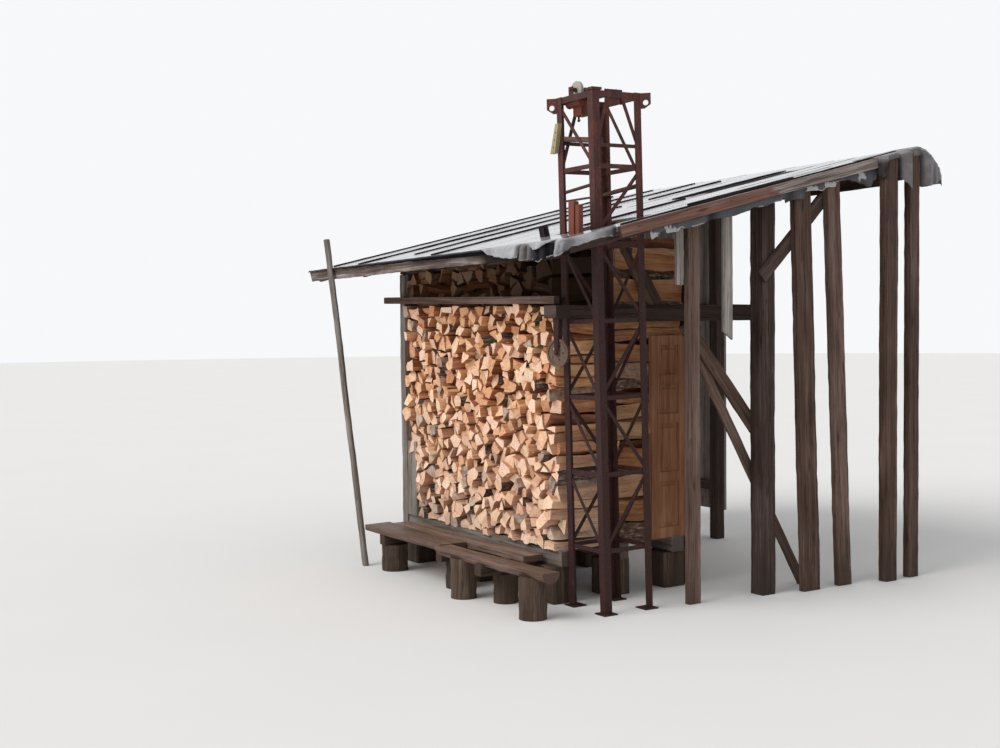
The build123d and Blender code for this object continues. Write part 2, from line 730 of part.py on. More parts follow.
def felt_flap_high():
    """Felt that runs past the high corner and falls in folds."""
    x = (ROOF_RIGHT + OUTER_POST_FACE) / 2
    y0 = up_to(VERGE_FASCIA_END) + HIGH_FLAP_GAP
    top = FELT_TOP + FLAP_SHEET
    fold = (OUTER_POST_FACE - ROOF_RIGHT - FLAP_SHEET) / 2 - 2 * SEAT
    side = curtain(wave((x, y0), (x, HIGH_Y + 60), 8, fold), FELT_TOP - HIGH_FLAP_DROP, top)
    cover = roof_box(ROOF_RIGHT - HIGH_FLAP_COVER, x + 5, VERGE_FASCIA_END + HIGH_FLAP_GAP - 4,
                     ROOF_LENGTH + 3, FELT_TOP, top)
    edge = ROOF.from_local_coords(Vector(0, ROOF_LENGTH, FELT_TOP + FLAP_SHEET / 2))
    fall = Polyline(*[(edge.Y + 2 + out, edge.Z - down) for out, down in HIGH_FLAP_FALL])
    plane = Plane(origin=(x + 5, 0, 0), x_dir=(0, 1, 0), z_dir=(1, 0, 0))
    droop = extrude(plane * trace(fall, FLAP_SHEET), -HIGH_FLAP_WIDTH)
    return side + cover + droop


# Open right side

def upright(x0, x1, y0, y1, level):
    """A plumb post from the ground to a level of the roof frame."""
    return trim_under(box(x0, x1, y0, y1, 0, OVER_ROOF), level)


def near_post():
    return upright(POST_LINE, POST_LINE + NEAR_POST_THICKNESS, NEAR_POST_Y - NEAR_POST_WIDTH / 2,
                   NEAR_POST_Y + NEAR_POST_WIDTH / 2, -RAFTER_DEPTH)


def big_post():
    half = BIG_POST_SIZE / 2
    post = upright(POST_LINE, POST_LINE + BIG_POST_SIZE, BIG_POST_Y - half, BIG_POST_Y + half, 0)
    notch = roof_box(RAFTER_PLACES[-1] - RAFTER_WIDTH / 2 - 1, RAFTER_PLACES[-1]
                     + RAFTER_WIDTH / 2 + SEAT, 0, ROOF_LENGTH, -RAFTER_DEPTH, BIG_POST_SIZE)
    return post - notch


def leaning_post(top_y, bottom_y, width):
    """A plank-like post that leans back, its foot on the ground."""
    start = (LEANING_POST_X, bottom_y + (bottom_y - top_y) * width / OVER_ROOF, -width)
    post = bar(start, (LEANING_POST_X, top_y, OVER_ROOF), width, LEANING_POST_THICKNESS,
               (1, 0, 0))
    return trim_under(cut_at_ground(post), 0)


def leaning_posts():
    third = leaning_post(THIRD_POST_TOP_Y, THIRD_POST_BOTTOM_Y, THIRD_POST_WIDTH)
    fourth = leaning_post(FOURTH_POST_TOP_Y, FOURTH_POST_BOTTOM_Y, FOURTH_POST_WIDTH)
    return Compound([third, fourth])


def outer_post(y, width, thickness):
    return upright(OUTER_POST_FACE, OUTER_POST_FACE + thickness, y - width / 2, y + width / 2,
                   FELT_TOP - 8)


def outer_posts():
    fifth = outer_post(FIFTH_POST_Y, FIFTH_POST_WIDTH, FIFTH_POST_THICKNESS)
    sixth = outer_post(SIXTH_POST_Y, SIXTH_POST_WIDTH, SIXTH_POST_THICKNESS)
    return Compound([fifth, sixth])


def high_beams():
    """Two beams under the high end of the rafters, butted on the two outer posts."""
    beams = []
    for y in (FIFTH_POST_Y, SIXTH_POST_Y):
        beam = box(ROOF_LEFT + BACK_INSET - 10, ROOF_RIGHT, y - HIGH_BEAM_WIDTH / 2,
                   y + HIGH_BEAM_WIDTH / 2, 0, OVER_ROOF)
        beams.append(trim_above(trim_under(beam, -RAFTER_DEPTH),
                                -RAFTER_DEPTH - HIGH_BEAM_DEPTH))
    return Compound(beams)


def back_posts():
    half = BACK_POST_SIZE / 2
    posts = []
    for x in (ROOF_LEFT + BACK_INSET, BACK_BOARD_RIGHT - BACK_POST_SIZE):
        posts.append(upright(x, x + BACK_POST_SIZE, SIXTH_POST_Y - half, SIXTH_POST_Y + half,
                             -RAFTER_DEPTH - HIGH_BEAM_DEPTH))
    return Compound(posts)


def back_rails():
    x0 = ROOF_LEFT + BACK_INSET + BACK_POST_SIZE
    x1 = BACK_BOARD_RIGHT - BACK_POST_SIZE
    y1 = SIXTH_POST_Y + BACK_POST_SIZE / 2
    return Compound([box(x0, x1, y1 - BACK_RAIL_THICKNESS, y1, z, z + BACK_RAIL_HEIGHT)
                     for z in BACK_RAIL_PLACES])


def back_boards():
    y = SIXTH_POST_Y + BACK_POST_SIZE / 2
    panel = box(ROOF_LEFT + BACK_INSET, BACK_BOARD_RIGHT, y, y + BACK_BOARD_THICKNESS,
                BACK_BOARD_BOTTOM, OVER_ROOF)
    return trim_under(panel, -RAFTER_DEPTH)


def leaning_bar(x, foot, head, width, thickness):
    """A board on edge between two (y, z) points."""
    return bar((x, *foot), (x, *head), width, thickness, (1, 0, 0))


def knee_brace():
    x = POST_LINE + BIG_POST_SIZE + BOARD_THICKNESS / 2
    return trim_under(leaning_bar(x, *KNEE_LINE, KNEE_WIDTH, BOARD_THICKNESS), 0)


def raking_brace():
    x = POST_LINE - BRACE_THICKNESS / 2
    return leaning_bar(x, *RAKING_LINE, RAKING_WIDTH, BRACE_THICKNESS)


def leaning_board():
    x = POST_LINE - BRACE_THICKNESS * 1.5
    return cut_at_ground(leaning_bar(x, *LEANING_LINE, LEANING_WIDTH, BRACE_THICKNESS))


def hanging_boards():
    """A long board with a slanted foot and a short one, nailed to the last rafter."""
    x0 = RAFTER_PLACES[-1] + RAFTER_WIDTH / 2 + 2
    x1 = x0 + HANGING_THICKNESS
    near = HANGING_BACK_Y - HANGING_WIDTH
    low = HANGING_BOTTOM
    outline = Polygon([(near, low + 0.7 * HANGING_WIDTH), (HANGING_BACK_Y, low),
                       (HANGING_BACK_Y, OVER_ROOF), (near, OVER_ROOF)], align=None)
    plane = Plane(origin=(x0, 0, 0), x_dir=(0, 1, 0), z_dir=(1, 0, 0))
    long_one = extrude(plane * outline, HANGING_THICKNESS)
    short_one = box(x0, x1, SHORT_BOARD_Y, SHORT_BOARD_Y + SHORT_BOARD_WIDTH,
                    SHORT_BOARD_BOTTOM, OVER_ROOF)
    return Compound([trim_under(long_one, -2), trim_under(short_one, -2)])


# Prop pole

def prop_pole():
    edge = ROOF.from_local_coords(Vector(POLE_TOP_X - ROOF_RIGHT, -FASCIA_THICKNESS,
                                         DECK_THICKNESS))
    y = edge.Y - SEAT - POLE_RADIUS
    slope = (POLE_TOP_X - POLE_FOOT_X) / POLE_TOP_Z
    below = 2 * POLE_RADIUS
    pole = rod((POLE_FOOT_X - below * slope, y, -below), (POLE_TOP_X, y, POLE_TOP_Z),
               POLE_RADIUS)
    return cut_at_ground(pole)


# Lattice mast, drawn plumb from the outer corner of its front left leg

def stand_mast(shape):
    """Leans the drawn mast about the foot of its front left leg."""
    tilt = Rotation(-MAST_LEAN_Y, 0, 0) * Rotation(0, MAST_LEAN_X, 0)
    return Pos(MAST_FOOT_X, MAST_FOOT_Y, 0) * tilt * shape


def turned(shape, quarter_turns):
    """The same shape, turned round the mast's middle."""
    half = MAST_SIZE / 2
    return Pos(half, half, 0) * Rotation(0, 0, 90 * quarter_turns) * Pos(-half, -half, 0) * shape


def angle_leg():
    """One angle section with its heel on the front left corner."""
    section = (Rectangle(LEG_WIDTH, LEG_THICKNESS, align=Align.MIN)
               + Rectangle(LEG_THICKNESS, LEG_WIDTH, align=Align.MIN))
    return Pos(0, 0, -LEG_WIDTH) * extrude(section, MAST_TOP + LEG_WIDTH)


def guy_ear():
    """Plate on the diagonal at the front left corner, with a hole for a guy shackle."""
    top = MAST_TOP - EAR_DROP
    outline = Polygon([(-6, top), (EAR_LENGTH, top), (EAR_LENGTH, top - 0.72 * EAR_HEIGHT),
                       (0.36 * EAR_LENGTH, top - EAR_HEIGHT), (-6, top - EAR_HEIGHT)],
                      align=None)
    hole = Pos(EAR_HOLE_REACH, top - EAR_HOLE_DROP) * Circle(EAR_HOLE_RADIUS)
    plane = Plane(origin=(0, 0, 0), x_dir=(-1, -1, 0), z_dir=(-1, 1, 0))
    return extrude(plane * (outline - hole), EAR_THICKNESS / 2, both=True)


def mast_leg(quarter_turns, with_ear=False, with_cap=False):
    """A leg on its foot plate, cut off level at the ground."""
    leg = angle_leg()
    if with_ear:
        leg += guy_ear()
    if with_cap:
        low = -CAP_OVERHANG
        leg += box(low, low + CAP_SIZE, low, low + CAP_SIZE, MAST_TOP, MAST_TOP + CAP_THICKNESS)
    middle = LEG_WIDTH / 2
    foot = Pos(middle, middle, FOOT_PLATE_THICKNESS / 2) * Box(FOOT_PLATE, FOOT_PLATE,
                                                              FOOT_PLATE_THICKNESS)
    foot = Pos(MAST_FOOT_X, MAST_FOOT_Y, 0) * turned(foot, quarter_turns)
    return cut_at_ground(stand_mast(turned(leg, quarter_turns))) + foot


def face_bar(start, end, width):
    """A flat bar between two (along, height) points of a side."""
    y = INNER + BAR_THICKNESS / 2
    return bar((start[0], y, start[1]), (end[0], y, end[1]), width, BAR_THICKNESS, (0, 1, 0))


def zigzag(falls):
    """One diagonal a bay up to the roof, that falls to the right or rises."""
    lines = []
    for low, high, fall in zip(LEVELS, LEVELS[1:], falls):
        lines.append(((NEAR, high), (FAR, low)) if fall else ((NEAR, low), (FAR, high)))
    return lines


def face_bracing(diagonals, extra=()):
    """Struts and diagonals of the front side, fused where they meet."""
    pieces = [face_bar((NEAR, z), (FAR, z), STRUT_DEPTH) for z in LEVELS]
    pieces += [face_bar(start, end, DIAGONAL_WIDTH) for start, end in diagonals]
    side = None
    for piece in (*pieces, *extra):
        side = piece if side is None else side + piece
    keep = box(NEAR, FAR, -MAST_SIZE, MAST_SIZE, 0, HEAD_BEAM_BOTTOM - SEAT)
    return side & keep


def mast_front_bracing():
    """Front side, with a round pipe and a thin flat bar in the bay over the roof."""
    lines = zigzag([True] * (BAY_COUNT - 1))
    lines.append(((NEAR, HEAD_BEAM_BOTTOM), (FAR, HEAD_BAY)))
    y = INNER + PIPE_RADIUS
    left, right = PIPE_DROPS
    pipe = rod((NEAR, y, HEAD_BAY - left), (FAR, y, HEAD_BAY - right), PIPE_RADIUS)
    z = HEAD_BAY - CROSS_BAR_DROP
    flat = face_bar((NEAR, z), (FAR, z), CROSS_BAR_WIDTH)
    return stand_mast(face_bracing(lines, [pipe, flat]))


def shelf_rest(z):
    """Flat bar across a side with a small block that the shelf's end lies on."""
    along = (MAST_SIZE - NEAR - SHELF_WIDTH + 6, MAST_SIZE - NEAR - 6)
    under = z - SHELF_THICKNESS / 2 - DIAGONAL_WIDTH / 2
    block = box(*along, INNER, INNER + 26, under - DIAGONAL_WIDTH / 2, z)
    return [block, face_bar((NEAR, under), (FAR, under), DIAGONAL_WIDTH)]


def mast_right_bracing():
    """Right side, with the rest of the shelf's lower end."""
    lines = zigzag([False, True, False, True])
    lines += [((NEAR, HEAD_BAY - 440), (FAR, HEAD_BAY - 15)),
              ((NEAR + 114, HEAD_BEAM_BOTTOM), (NEAR, HEAD_BAY + 70)),
              ((FAR - 140, HEAD_BEAM_BOTTOM), (FAR, HEAD_BAY + 91))]
    rest = [mirrored(piece) for piece in shelf_rest(HEAD_BEAM_BOTTOM - SHELF_DROPS[1])]
    side = turned(face_bracing(lines, rest), 1) - shelf_plank(SEAT)
    return stand_mast(side)


def mast_back_bracing():
    lines = zigzag([True] * (BAY_COUNT - 1))
    lines.append(((NEAR, HEAD_BAY - 80), (FAR - 34, HEAD_BEAM_BOTTOM)))
    return stand_mast(turned(face_bracing(lines), 2))


def mast_left_bracing():
    """Left side, with the rest of the shelf's upper end."""
    lines = zigzag([True, False, True, False])
    lines.append(((FAR - 156, HEAD_BEAM_BOTTOM), (FAR, HEAD_BAY - 30)))
    rest = shelf_rest(HEAD_BEAM_BOTTOM - SHELF_DROPS[0])
    side = turned(face_bracing(lines, rest), 3) - shelf_plank(SEAT)
    return stand_mast(side)


def mirrored(shape):
    """The same shape of a side, swapped from one end of the side to the other."""
    return mirror(shape, Plane.YZ.offset(MAST_SIZE / 2))


def shelf_plank(clearance):
    """The sloping plank inside the head, with room round it."""
    y = NEAR + 1 + SHELF_WIDTH / 2
    left, right = (HEAD_BEAM_BOTTOM - drop for drop in SHELF_DROPS)
    room = 2 * clearance
    return bar((NEAR + 1, y, left), (FAR - 1, y, right), SHELF_WIDTH + room,
               SHELF_THICKNESS + room, (0, 0, 1))


def mast_shelf():
    """Wooden plank inside the head of the mast, and a rough pole below it at the back."""
    left, right = (HEAD_BAY - drop for drop in POLE_IN_MAST_DROPS)
    y = MAST_SIZE - POLE_IN_MAST_SETBACK
    pole = rod((0, y, left), (MAST_SIZE, y, right), POLE_IN_MAST_RADIUS)
    room = INNER + SEAT
    pole = pole & box(room, MAST_SIZE - room, 0, MAST_SIZE, 0, MAST_TOP)
    return stand_mast(Compound([shelf_plank(0), pole]))


def head_frame():
    """Ring of flats round the head, with the sheave's cheeks, its axle and a side roller."""
    z0 = HEAD_BEAM_BOTTOM
    z1 = z0 + HEAD_BEAM_DEPTH
    thick = HEAD_BEAM_THICKNESS
    low = INNER + SEAT
    high = MAST_SIZE - low
    ring = box(low, high, low, high, z0, z1)
    ring -= box(low + thick, high - thick, low + thick, high - thick, z0 - 1, z1 + 1)
    ring += box(low + 1, high - 1, SHEAVE_BEARER_Y, SHEAVE_BEARER_Y + thick, z0, z1)
    half = SHEAVE_CHEEK_WIDTH / 2
    for y in (low, SHEAVE_BEARER_Y):
        ring += box(SHEAVE_X - half, SHEAVE_X + half, y, y + thick, z0,
                    SHEAVE_Z + SHEAVE_CHEEK_RISE)
    ring += box(high - 2 * thick, high - thick + 1, *GUSSET_SIDES, z0 - GUSSET_DROP,
                z1 + GUSSET_RISE)
    y = MAST_SIZE / 2
    z = z1 + GUSSET_RISE - ROLLER_RADIUS
    ring += rod((high + 2 - ROLLER_LENGTH, y, z), (high + 2, y, z), ROLLER_RADIUS)
    ring += rod((SHEAVE_X, low - 8, SHEAVE_Z), (SHEAVE_X, SHEAVE_BEARER_Y + thick + 8, SHEAVE_Z),
                SHEAVE_PIN_RADIUS)
    side = HEAD_HALF_WIDTH + SIDE_PLAY
    for start, end in ((low + thick, SHEAVE_Y - side), (SHEAVE_Y + side, SHEAVE_BEARER_Y)):
        ring += rod((SHEAVE_X, start, SHEAVE_Z), (SHEAVE_X, end, SHEAVE_Z), SPACER_RADIUS)
    return stand_mast(ring)


def hoist_box():
    """Small gear housing hung under the sheave's bearer, with a half-round pan and a hook."""
    z1 = HEAD_BEAM_BOTTOM - SEAT
    z0 = z1 - HOIST_HEIGHT
    housing = box(*HOIST_ENDS, *HOIST_SIDES, z0, z1)
    x = HOIST_ENDS[0] + 7
    y = sum(HOIST_SIDES) / 2
    hook = box(x - 5, x + 5, y - 5, y + 5, z0 - 34, z0)
    hook += box(x - 14, x + 14, y - 3, y + 3, z0 - 28, z0 - 20)
    left, right = PAN_ENDS
    outside = rod((left, SHEAVE_Y, z1), (right, SHEAVE_Y, z1), PAN_RADIUS)
    inside = rod((left + PAN_SHEET, SHEAVE_Y, z1), (right - PAN_SHEET, SHEAVE_Y, z1),
                 PAN_RADIUS - PAN_SHEET)
    pan = outside - inside - box(0, MAST_SIZE, 0, MAST_SIZE, z1, z1 + MAST_SIZE)
    return stand_mast(housing + hook + pan)


def cable_box():
    """Slanted perforated case on the front of the front left leg."""
    low = HEAD_BEAM_BOTTOM - CABLE_BOX_BOTTOM_DROP
    high = HEAD_BEAM_BOTTOM - CABLE_BOX_TOP_DROP
    outline = Polygon([(-42, low), (10, low), (56, high), (23, high)], align=None)
    plane = Plane(origin=(0, -SEAT, 0), x_dir=(1, 0, 0), z_dir=(0, -1, 0))
    case = extrude(plane * outline, CABLE_BOX_DEPTH)
    for share in (0.2, 0.45, 0.7):
        x = -16 + 56 * share
        z = low + (high - low) * share
        case -= rod((x, -CABLE_BOX_DEPTH - 1, z), (x, -CABLE_BOX_DEPTH + 12, z),
                    CABLE_BOX_HOLE_RADIUS)
    return stand_mast(case)


def roof_case():
    """Plumb steel case that stands on the roof in front of the mast, and a smaller one."""
    tall = box(*ROOF_CASE_ENDS, *ROOF_CASE_SIDES, 0, ROOF_CASE_TOP)
    tall = chamfer(tall.faces().sort_by(Axis.Z)[-1].edges(), 5)
    small = box(*SMALL_CASE_ENDS, *SMALL_CASE_SIDES, 0, SMALL_CASE_TOP)
    return Compound([trim_above(tall, FELT_TOP), trim_above(small, FELT_TOP)])


def turned_wheel(half_profile):
    """A wheel about the Z axis, from the profile of its upper half."""
    points = half_profile + [(r, -z) for r, z in reversed(half_profile)]
    return revolve(make_face(Plane.XZ * Polyline(*points, close=True)), Axis.Z)


def grooved_rim(radius, half_width):
    """Profile points of the rim, from its outer corner into its groove."""
    flange = half_width - FLANGE_THICKNESS
    return [(radius, half_width), (radius, flange), (radius - GROOVE_DEPTH, flange)]


def guide_frame():
    """Frame of the guide pulley: Z along its pin, towards the front, and Y up."""
    turn = math.radians(GUIDE_TURN)
    return Plane(origin=(GUIDE_X, GUIDE_Y, GUIDE_Z), x_dir=(math.cos(turn), math.sin(turn), 0),
                 z_dir=(math.sin(turn), -math.cos(turn), 0))


def guide_pulley():
    web = WEB_THICKNESS / 2
    rim = GUIDE_RADIUS - RIM_DEPTH
    disc = turned_wheel([(GUIDE_PIN_RADIUS + RUNNING_CLEARANCE, GUIDE_HUB_HALF),
                         (GUIDE_HUB_RADIUS, GUIDE_HUB_HALF), (GUIDE_HUB_RADIUS, web),
                         (rim, web), (rim, GUIDE_HALF_WIDTH),
                         *grooved_rim(GUIDE_RADIUS, GUIDE_HALF_WIDTH)])
    for i in range(WEB_HOLES):
        turn = Rotation(0, 0, 360 / WEB_HOLES * i)
        disc -= turn * Pos(WEB_HOLE_CIRCLE, 0, 0) * Cylinder(WEB_HOLE_RADIUS, GUIDE_RADIUS)
    return guide_frame() * disc


def pulley_fork():
    """Two tapered straps under the block, with the pin that the guide pulley runs on."""
    height = BLOCK_BOTTOM - GUIDE_Z
    strap = Polygon([(-14, 0), (14, 0), (26, height), (-26, height)], align=None)
    strap += Circle(FORK_FOOT_RADIUS)
    inner = GUIDE_HUB_HALF + SIDE_PLAY
    reach = inner + FORK_THICKNESS
    fork = Pos(0, 0, inner) * extrude(strap, FORK_THICKNESS)
    fork += Pos(0, 0, -reach) * extrude(strap, FORK_THICKNESS)
    fork += Pos(0, height - 4, 0) * Box(52, 8, 2 * reach)
    fork += Cylinder(GUIDE_PIN_RADIUS, 2 * reach)
    for side in (1, -1):
        fork += Pos(0, 0, side * (reach + PIN_HEAD_THICKNESS / 2)) * Cylinder(
            PIN_HEAD_RADIUS, PIN_HEAD_THICKNESS)
    return guide_frame() * fork


def pulley_block():
    """Wooden block under the rail's end, clamped to the mast's front left leg."""
    leg_face = MAST_FOOT_Y + BLOCK_TOP * math.tan(math.radians(MAST_LEAN_Y))
    return box(22, 165, BLOCK_FRONT, leg_face - SEAT, BLOCK_BOTTOM, BLOCK_TOP)


def head_sheave():
    disc = turned_wheel([(SHEAVE_PIN_RADIUS + RUNNING_CLEARANCE, HEAD_HALF_WIDTH),
                         *grooved_rim(HEAD_RADIUS, HEAD_HALF_WIDTH)])
    return stand_mast(Pos(SHEAVE_X, SHEAVE_Y, SHEAVE_Z) * Rotation(90, 0, 0) * disc)


PARTS = {
    "base_piers": base_piers,
    "sill_beams": sill_beams,
    "log_stack_front": log_stack_front,
    "log_stack_rear": log_stack_rear,
    "loose_logs": loose_logs,
    "corner_post": corner_post,
    "rear_posts": rear_posts,
    "wall_plates": wall_plates,
    "front_rail": front_rail,
    "end_beam": end_beam,
    "end_brace": end_brace,
    "panel_door": panel_door,
    "bench_planks": bench_planks,
    "bench_half_log": bench_half_log,
    "bench_bearers": bench_bearers,
    "bench_stumps": bench_stumps,
    "rafters": rafters,
    "roof_deck": roof_deck,
    "roof_felt": roof_felt,
    "roof_battens": roof_battens,
    "eave_fascia": eave_fascia,
    "left_verge_board": left_verge_board,
    "verge_fascia": verge_fascia,
    "verge_strip": verge_strip,
    "felt_flap_front": felt_flap_front,
    "felt_flap_high": felt_flap_high,
    "near_post": near_post,
    "big_post": big_post,
    "leaning_posts": leaning_posts,
    "outer_posts": outer_posts,
    "high_beams": high_beams,
    "back_posts": back_posts,
    "back_rails": back_rails,
    "back_boards": back_boards,
    "knee_brace": knee_brace,
    "raking_brace": raking_brace,
    "leaning_board": leaning_board,
    "hanging_boards": hanging_boards,
    "prop_pole": prop_pole,
    "mast_leg_front_left": lambda: mast_leg(0, with_ear=True),
    "mast_leg_front_right": lambda: mast_leg(1, with_cap=True),
    "mast_leg_back_right": lambda: mast_leg(2, with_ear=True),
    "mast_leg_back_left": lambda: mast_leg(3),
    "mast_front_bracing": mast_front_bracing,
    "mast_right_bracing": mast_right_bracing,
    "mast_back_bracing": mast_back_bracing,
    "mast_left_bracing": mast_left_bracing,
    "mast_shelf": mast_shelf,
    "head_frame": head_frame,
    "head_sheave": head_sheave,
    "hoist_box": hoist_box,
    "cable_box": cable_box,
    "roof_case": roof_case,
    "pulley_block": pulley_block,
    "pulley_fork": pulley_fork,
    "guide_pulley": guide_pulley,
}


os.makedirs("parts", exist_ok=True)
for name, make in PARTS.items():
    export_step(make(), f"parts/{name}.step")
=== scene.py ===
import logging
import math
import random
from dataclasses import dataclass, field
from enum import Enum

import bmesh
import bpy
import numpy as np
from mathutils import Matrix, Vector, noise


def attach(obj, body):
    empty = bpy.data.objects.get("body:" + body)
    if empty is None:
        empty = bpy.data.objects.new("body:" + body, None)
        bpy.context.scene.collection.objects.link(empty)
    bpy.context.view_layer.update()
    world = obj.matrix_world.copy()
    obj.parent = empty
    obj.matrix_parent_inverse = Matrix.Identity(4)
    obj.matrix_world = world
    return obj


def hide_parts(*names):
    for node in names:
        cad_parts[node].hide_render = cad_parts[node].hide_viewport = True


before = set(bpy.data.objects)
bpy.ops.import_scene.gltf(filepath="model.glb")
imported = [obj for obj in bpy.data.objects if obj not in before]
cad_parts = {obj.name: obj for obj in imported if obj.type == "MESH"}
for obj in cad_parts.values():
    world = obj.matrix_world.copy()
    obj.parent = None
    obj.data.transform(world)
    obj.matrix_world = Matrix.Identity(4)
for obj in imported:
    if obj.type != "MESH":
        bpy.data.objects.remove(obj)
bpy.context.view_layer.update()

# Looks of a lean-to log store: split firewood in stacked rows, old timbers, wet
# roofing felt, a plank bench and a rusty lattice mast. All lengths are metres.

STORE = "store"
NOISE_SEED = 1

Colour = tuple[float, float, float]
Outline = list[tuple[float, float]]
Mark = tuple[float, float]
Column = list[tuple[Vector, Mark]]

log = logging.getLogger("log_store")


def shaded(colour: Colour, share: float) -> Colour:
    """Give a colour at a share of its brightness."""
    return tuple(share * part for part in colour)


class Graph:
    """The node tree of one material, with short ways to add its nodes."""

    def __init__(self, name: str) -> None:
        """Start a material that has one Principled shader."""
        self.material = bpy.data.materials.new(name)
        self.material.use_nodes = True
        self.tree = self.material.node_tree
        self.shader = self.tree.nodes["Principled BSDF"]

    def plug(self, value: object, socket: bpy.types.NodeSocket) -> None:
        """Link a socket, or set a plain value.

        Args:
            value: an output socket, a number, or a colour or vector.
            socket: the input that takes it.
        """
        if isinstance(value, bpy.types.NodeSocket):
            self.tree.links.new(value, socket)
        elif socket.type == "RGBA" and len(value) == 3:
            socket.default_value = (*value, 1.0)
        else:
            socket.default_value = value

    def node(self, kind: str, inputs: dict[object, object], **settings: object) -> bpy.types.Node:
        """Add a node.

        Args:
            kind: the node's type, without its ShaderNode prefix.
            inputs: what goes into each input, by name or number.
            settings: the node's own properties.

        Returns:
            The new node.
        """
        made = self.tree.nodes.new("ShaderNode" + kind)
        for key, value in settings.items():
            setattr(made, key, value)
        for key, value in inputs.items():
            self.plug(value, made.inputs[key])
        return made

    def attribute(self, name: str, output: str = "Fac") -> bpy.types.NodeSocket:
        """Read a mesh attribute.

        Args:
            name: the attribute's name.
            output: Fac for a number, Vector for a vector.

        Returns:
            The socket that carries it.
        """
        return self.node("Attribute", {}, attribute_name=name).outputs[output]

    def place(self) -> bpy.types.NodeSocket:
        """Return the point's own coordinates in the object, in metres."""
        return self.node("TexCoord", {}).outputs["Object"]

    def axes(self) -> tuple[bpy.types.NodeSocket, ...]:
        """Return the point's own x, y and z, each by itself."""
        return tuple(self.node("SeparateXYZ", {0: self.place()}).outputs)

    def stretch(self, vector: bpy.types.NodeSocket, scale: Colour) -> bpy.types.NodeSocket:
        """Scale a vector by axis.

        Args:
            vector: the coordinates.
            scale: how much each axis is multiplied.

        Returns:
            The scaled coordinates.
        """
        return self.node("Mapping", {"Vector": vector, "Scale": scale}).outputs[0]

    def noise(self, vector: bpy.types.NodeSocket, scale: float, detail: float = 4.0,
              rough: float = 0.55, twist: float = 0.0) -> bpy.types.NodeSocket:
        """Add cloudy noise.

        Args:
            vector: the coordinates.
            scale: how fine the noise is.
            detail: how many finer layers it has.
            rough: how strong the finer layers are.
            twist: how far it is distorted.

        Returns:
            A value around one half.
        """
        return self.node("TexNoise", {"Vector": vector, "Scale": scale, "Detail": detail,
                                      "Roughness": rough, "Distortion": twist}).outputs[0]

    def cells(self, vector: bpy.types.NodeSocket) -> bpy.types.NodeSocket:
        """Add cell noise.

        Args:
            vector: the coordinates.

        Returns:
            The distance to the middle of the nearest cell.
        """
        return self.node("TexVoronoi", {"Vector": vector, "Scale": 1.0}).outputs["Distance"]

    def maths(self, operation: str, a: object, b: object = 0.0) -> bpy.types.NodeSocket:
        """Add one sum.

        Args:
            operation: the sum's name, such as ADD.
            a: the first number or socket.
            b: the second number or socket.

        Returns:
            The result.
        """
        return self.node("Math", {0: a, 1: b}, operation=operation).outputs[0]

    def total(self, *parts: tuple[object, float]) -> bpy.types.NodeSocket:
        """Add up values, each times its weight.

        Args:
            parts: the values with their weights.

        Returns:
            The sum.
        """
        products = [self.maths("MULTIPLY", value, weight) for value, weight in parts]
        result = products[0]
        for product in products[1:]:
            result = self.maths("ADD", result, product)
        return result

    def band(self, value: bpy.types.NodeSocket, low: float, high: float, start: float = 0.0,
             end: float = 1.0) -> bpy.types.NodeSocket:
        """Map a value's range to another, and clamp it.

        Args:
            value: the value.
            low: where the range starts.
            high: where it ends.
            start: what low becomes.
            end: what high becomes.

        Returns:
            The mapped value.
        """
        return self.node("MapRange", {"Value": value, "From Min": low, "From Max": high,
                                      "To Min": start, "To Max": end}).outputs[0]

    def ramp(self, value: bpy.types.NodeSocket,
             stops: list[tuple[float, Colour]]) -> bpy.types.NodeSocket:
        """Turn a value into a colour.

        Args:
            value: the value.
            stops: places from 0 to 1, each with its colour.

        Returns:
            The colour.
        """
        made = self.node("ValToRGB", {"Fac": value})
        elements = made.color_ramp.elements
        while len(elements) < len(stops):
            elements.new(0.5)
        for element, (where, colour) in zip(elements, stops):
            element.position = where
            element.color = (*colour, 1.0)
        return made.outputs[0]

    def mix(self, share: object, a: object, b: object) -> bpy.types.NodeSocket:
        """Mix two colours.

        Args:
            share: how much of the second colour there is.
            a: the first colour or socket.
            b: the second colour or socket.

        Returns:
            The mixed colour.
        """
        return self.node("MixRGB", {"Fac": share, "Color1": a, "Color2": b}).outputs[0]

    def cracks(self, grain: bpy.types.NodeSocket, scale: Colour, width: float,
               rough: float = 0.55) -> bpy.types.NodeSocket:
        """Draw drying cracks along the grain.

        Args:
            grain: the wood's coordinates.
            scale: how fine they are, by axis.
            width: how wide they are, as a share of the noise.
            rough: how ragged they are.

        Returns:
            1 in a crack and 0 beside it.
        """
        cloud = self.noise(self.stretch(grain, scale), 1.0, 3, rough)
        gap = self.maths("ABSOLUTE", self.maths("SUBTRACT", cloud, 0.5))
        return self.band(gap, 0.0, width, 1.0, 0.0)

    def rings(self, grain: bpy.types.NodeSocket, density: float, waver: float,
              sway: float) -> bpy.types.NodeSocket:
        """Draw year rings about the pith.

        Args:
            grain: the wood's coordinates.
            density: how close the rings are, in radians to a metre.
            waver: how fine their wandering is.
            sway: how far they wander, in radians.

        Returns:
            A wave from 0 to 1.
        """
        across = self.node("VectorMath", {0: self.stretch(grain, (1, 1, 0))}, operation="LENGTH")
        cloud = self.noise(self.stretch(grain, (waver, waver, 1)), 1.0, 3)
        turns = self.total((across.outputs["Value"], density), (cloud, sway))
        return self.band(self.maths("SINE", turns), -1.0, 1.0)

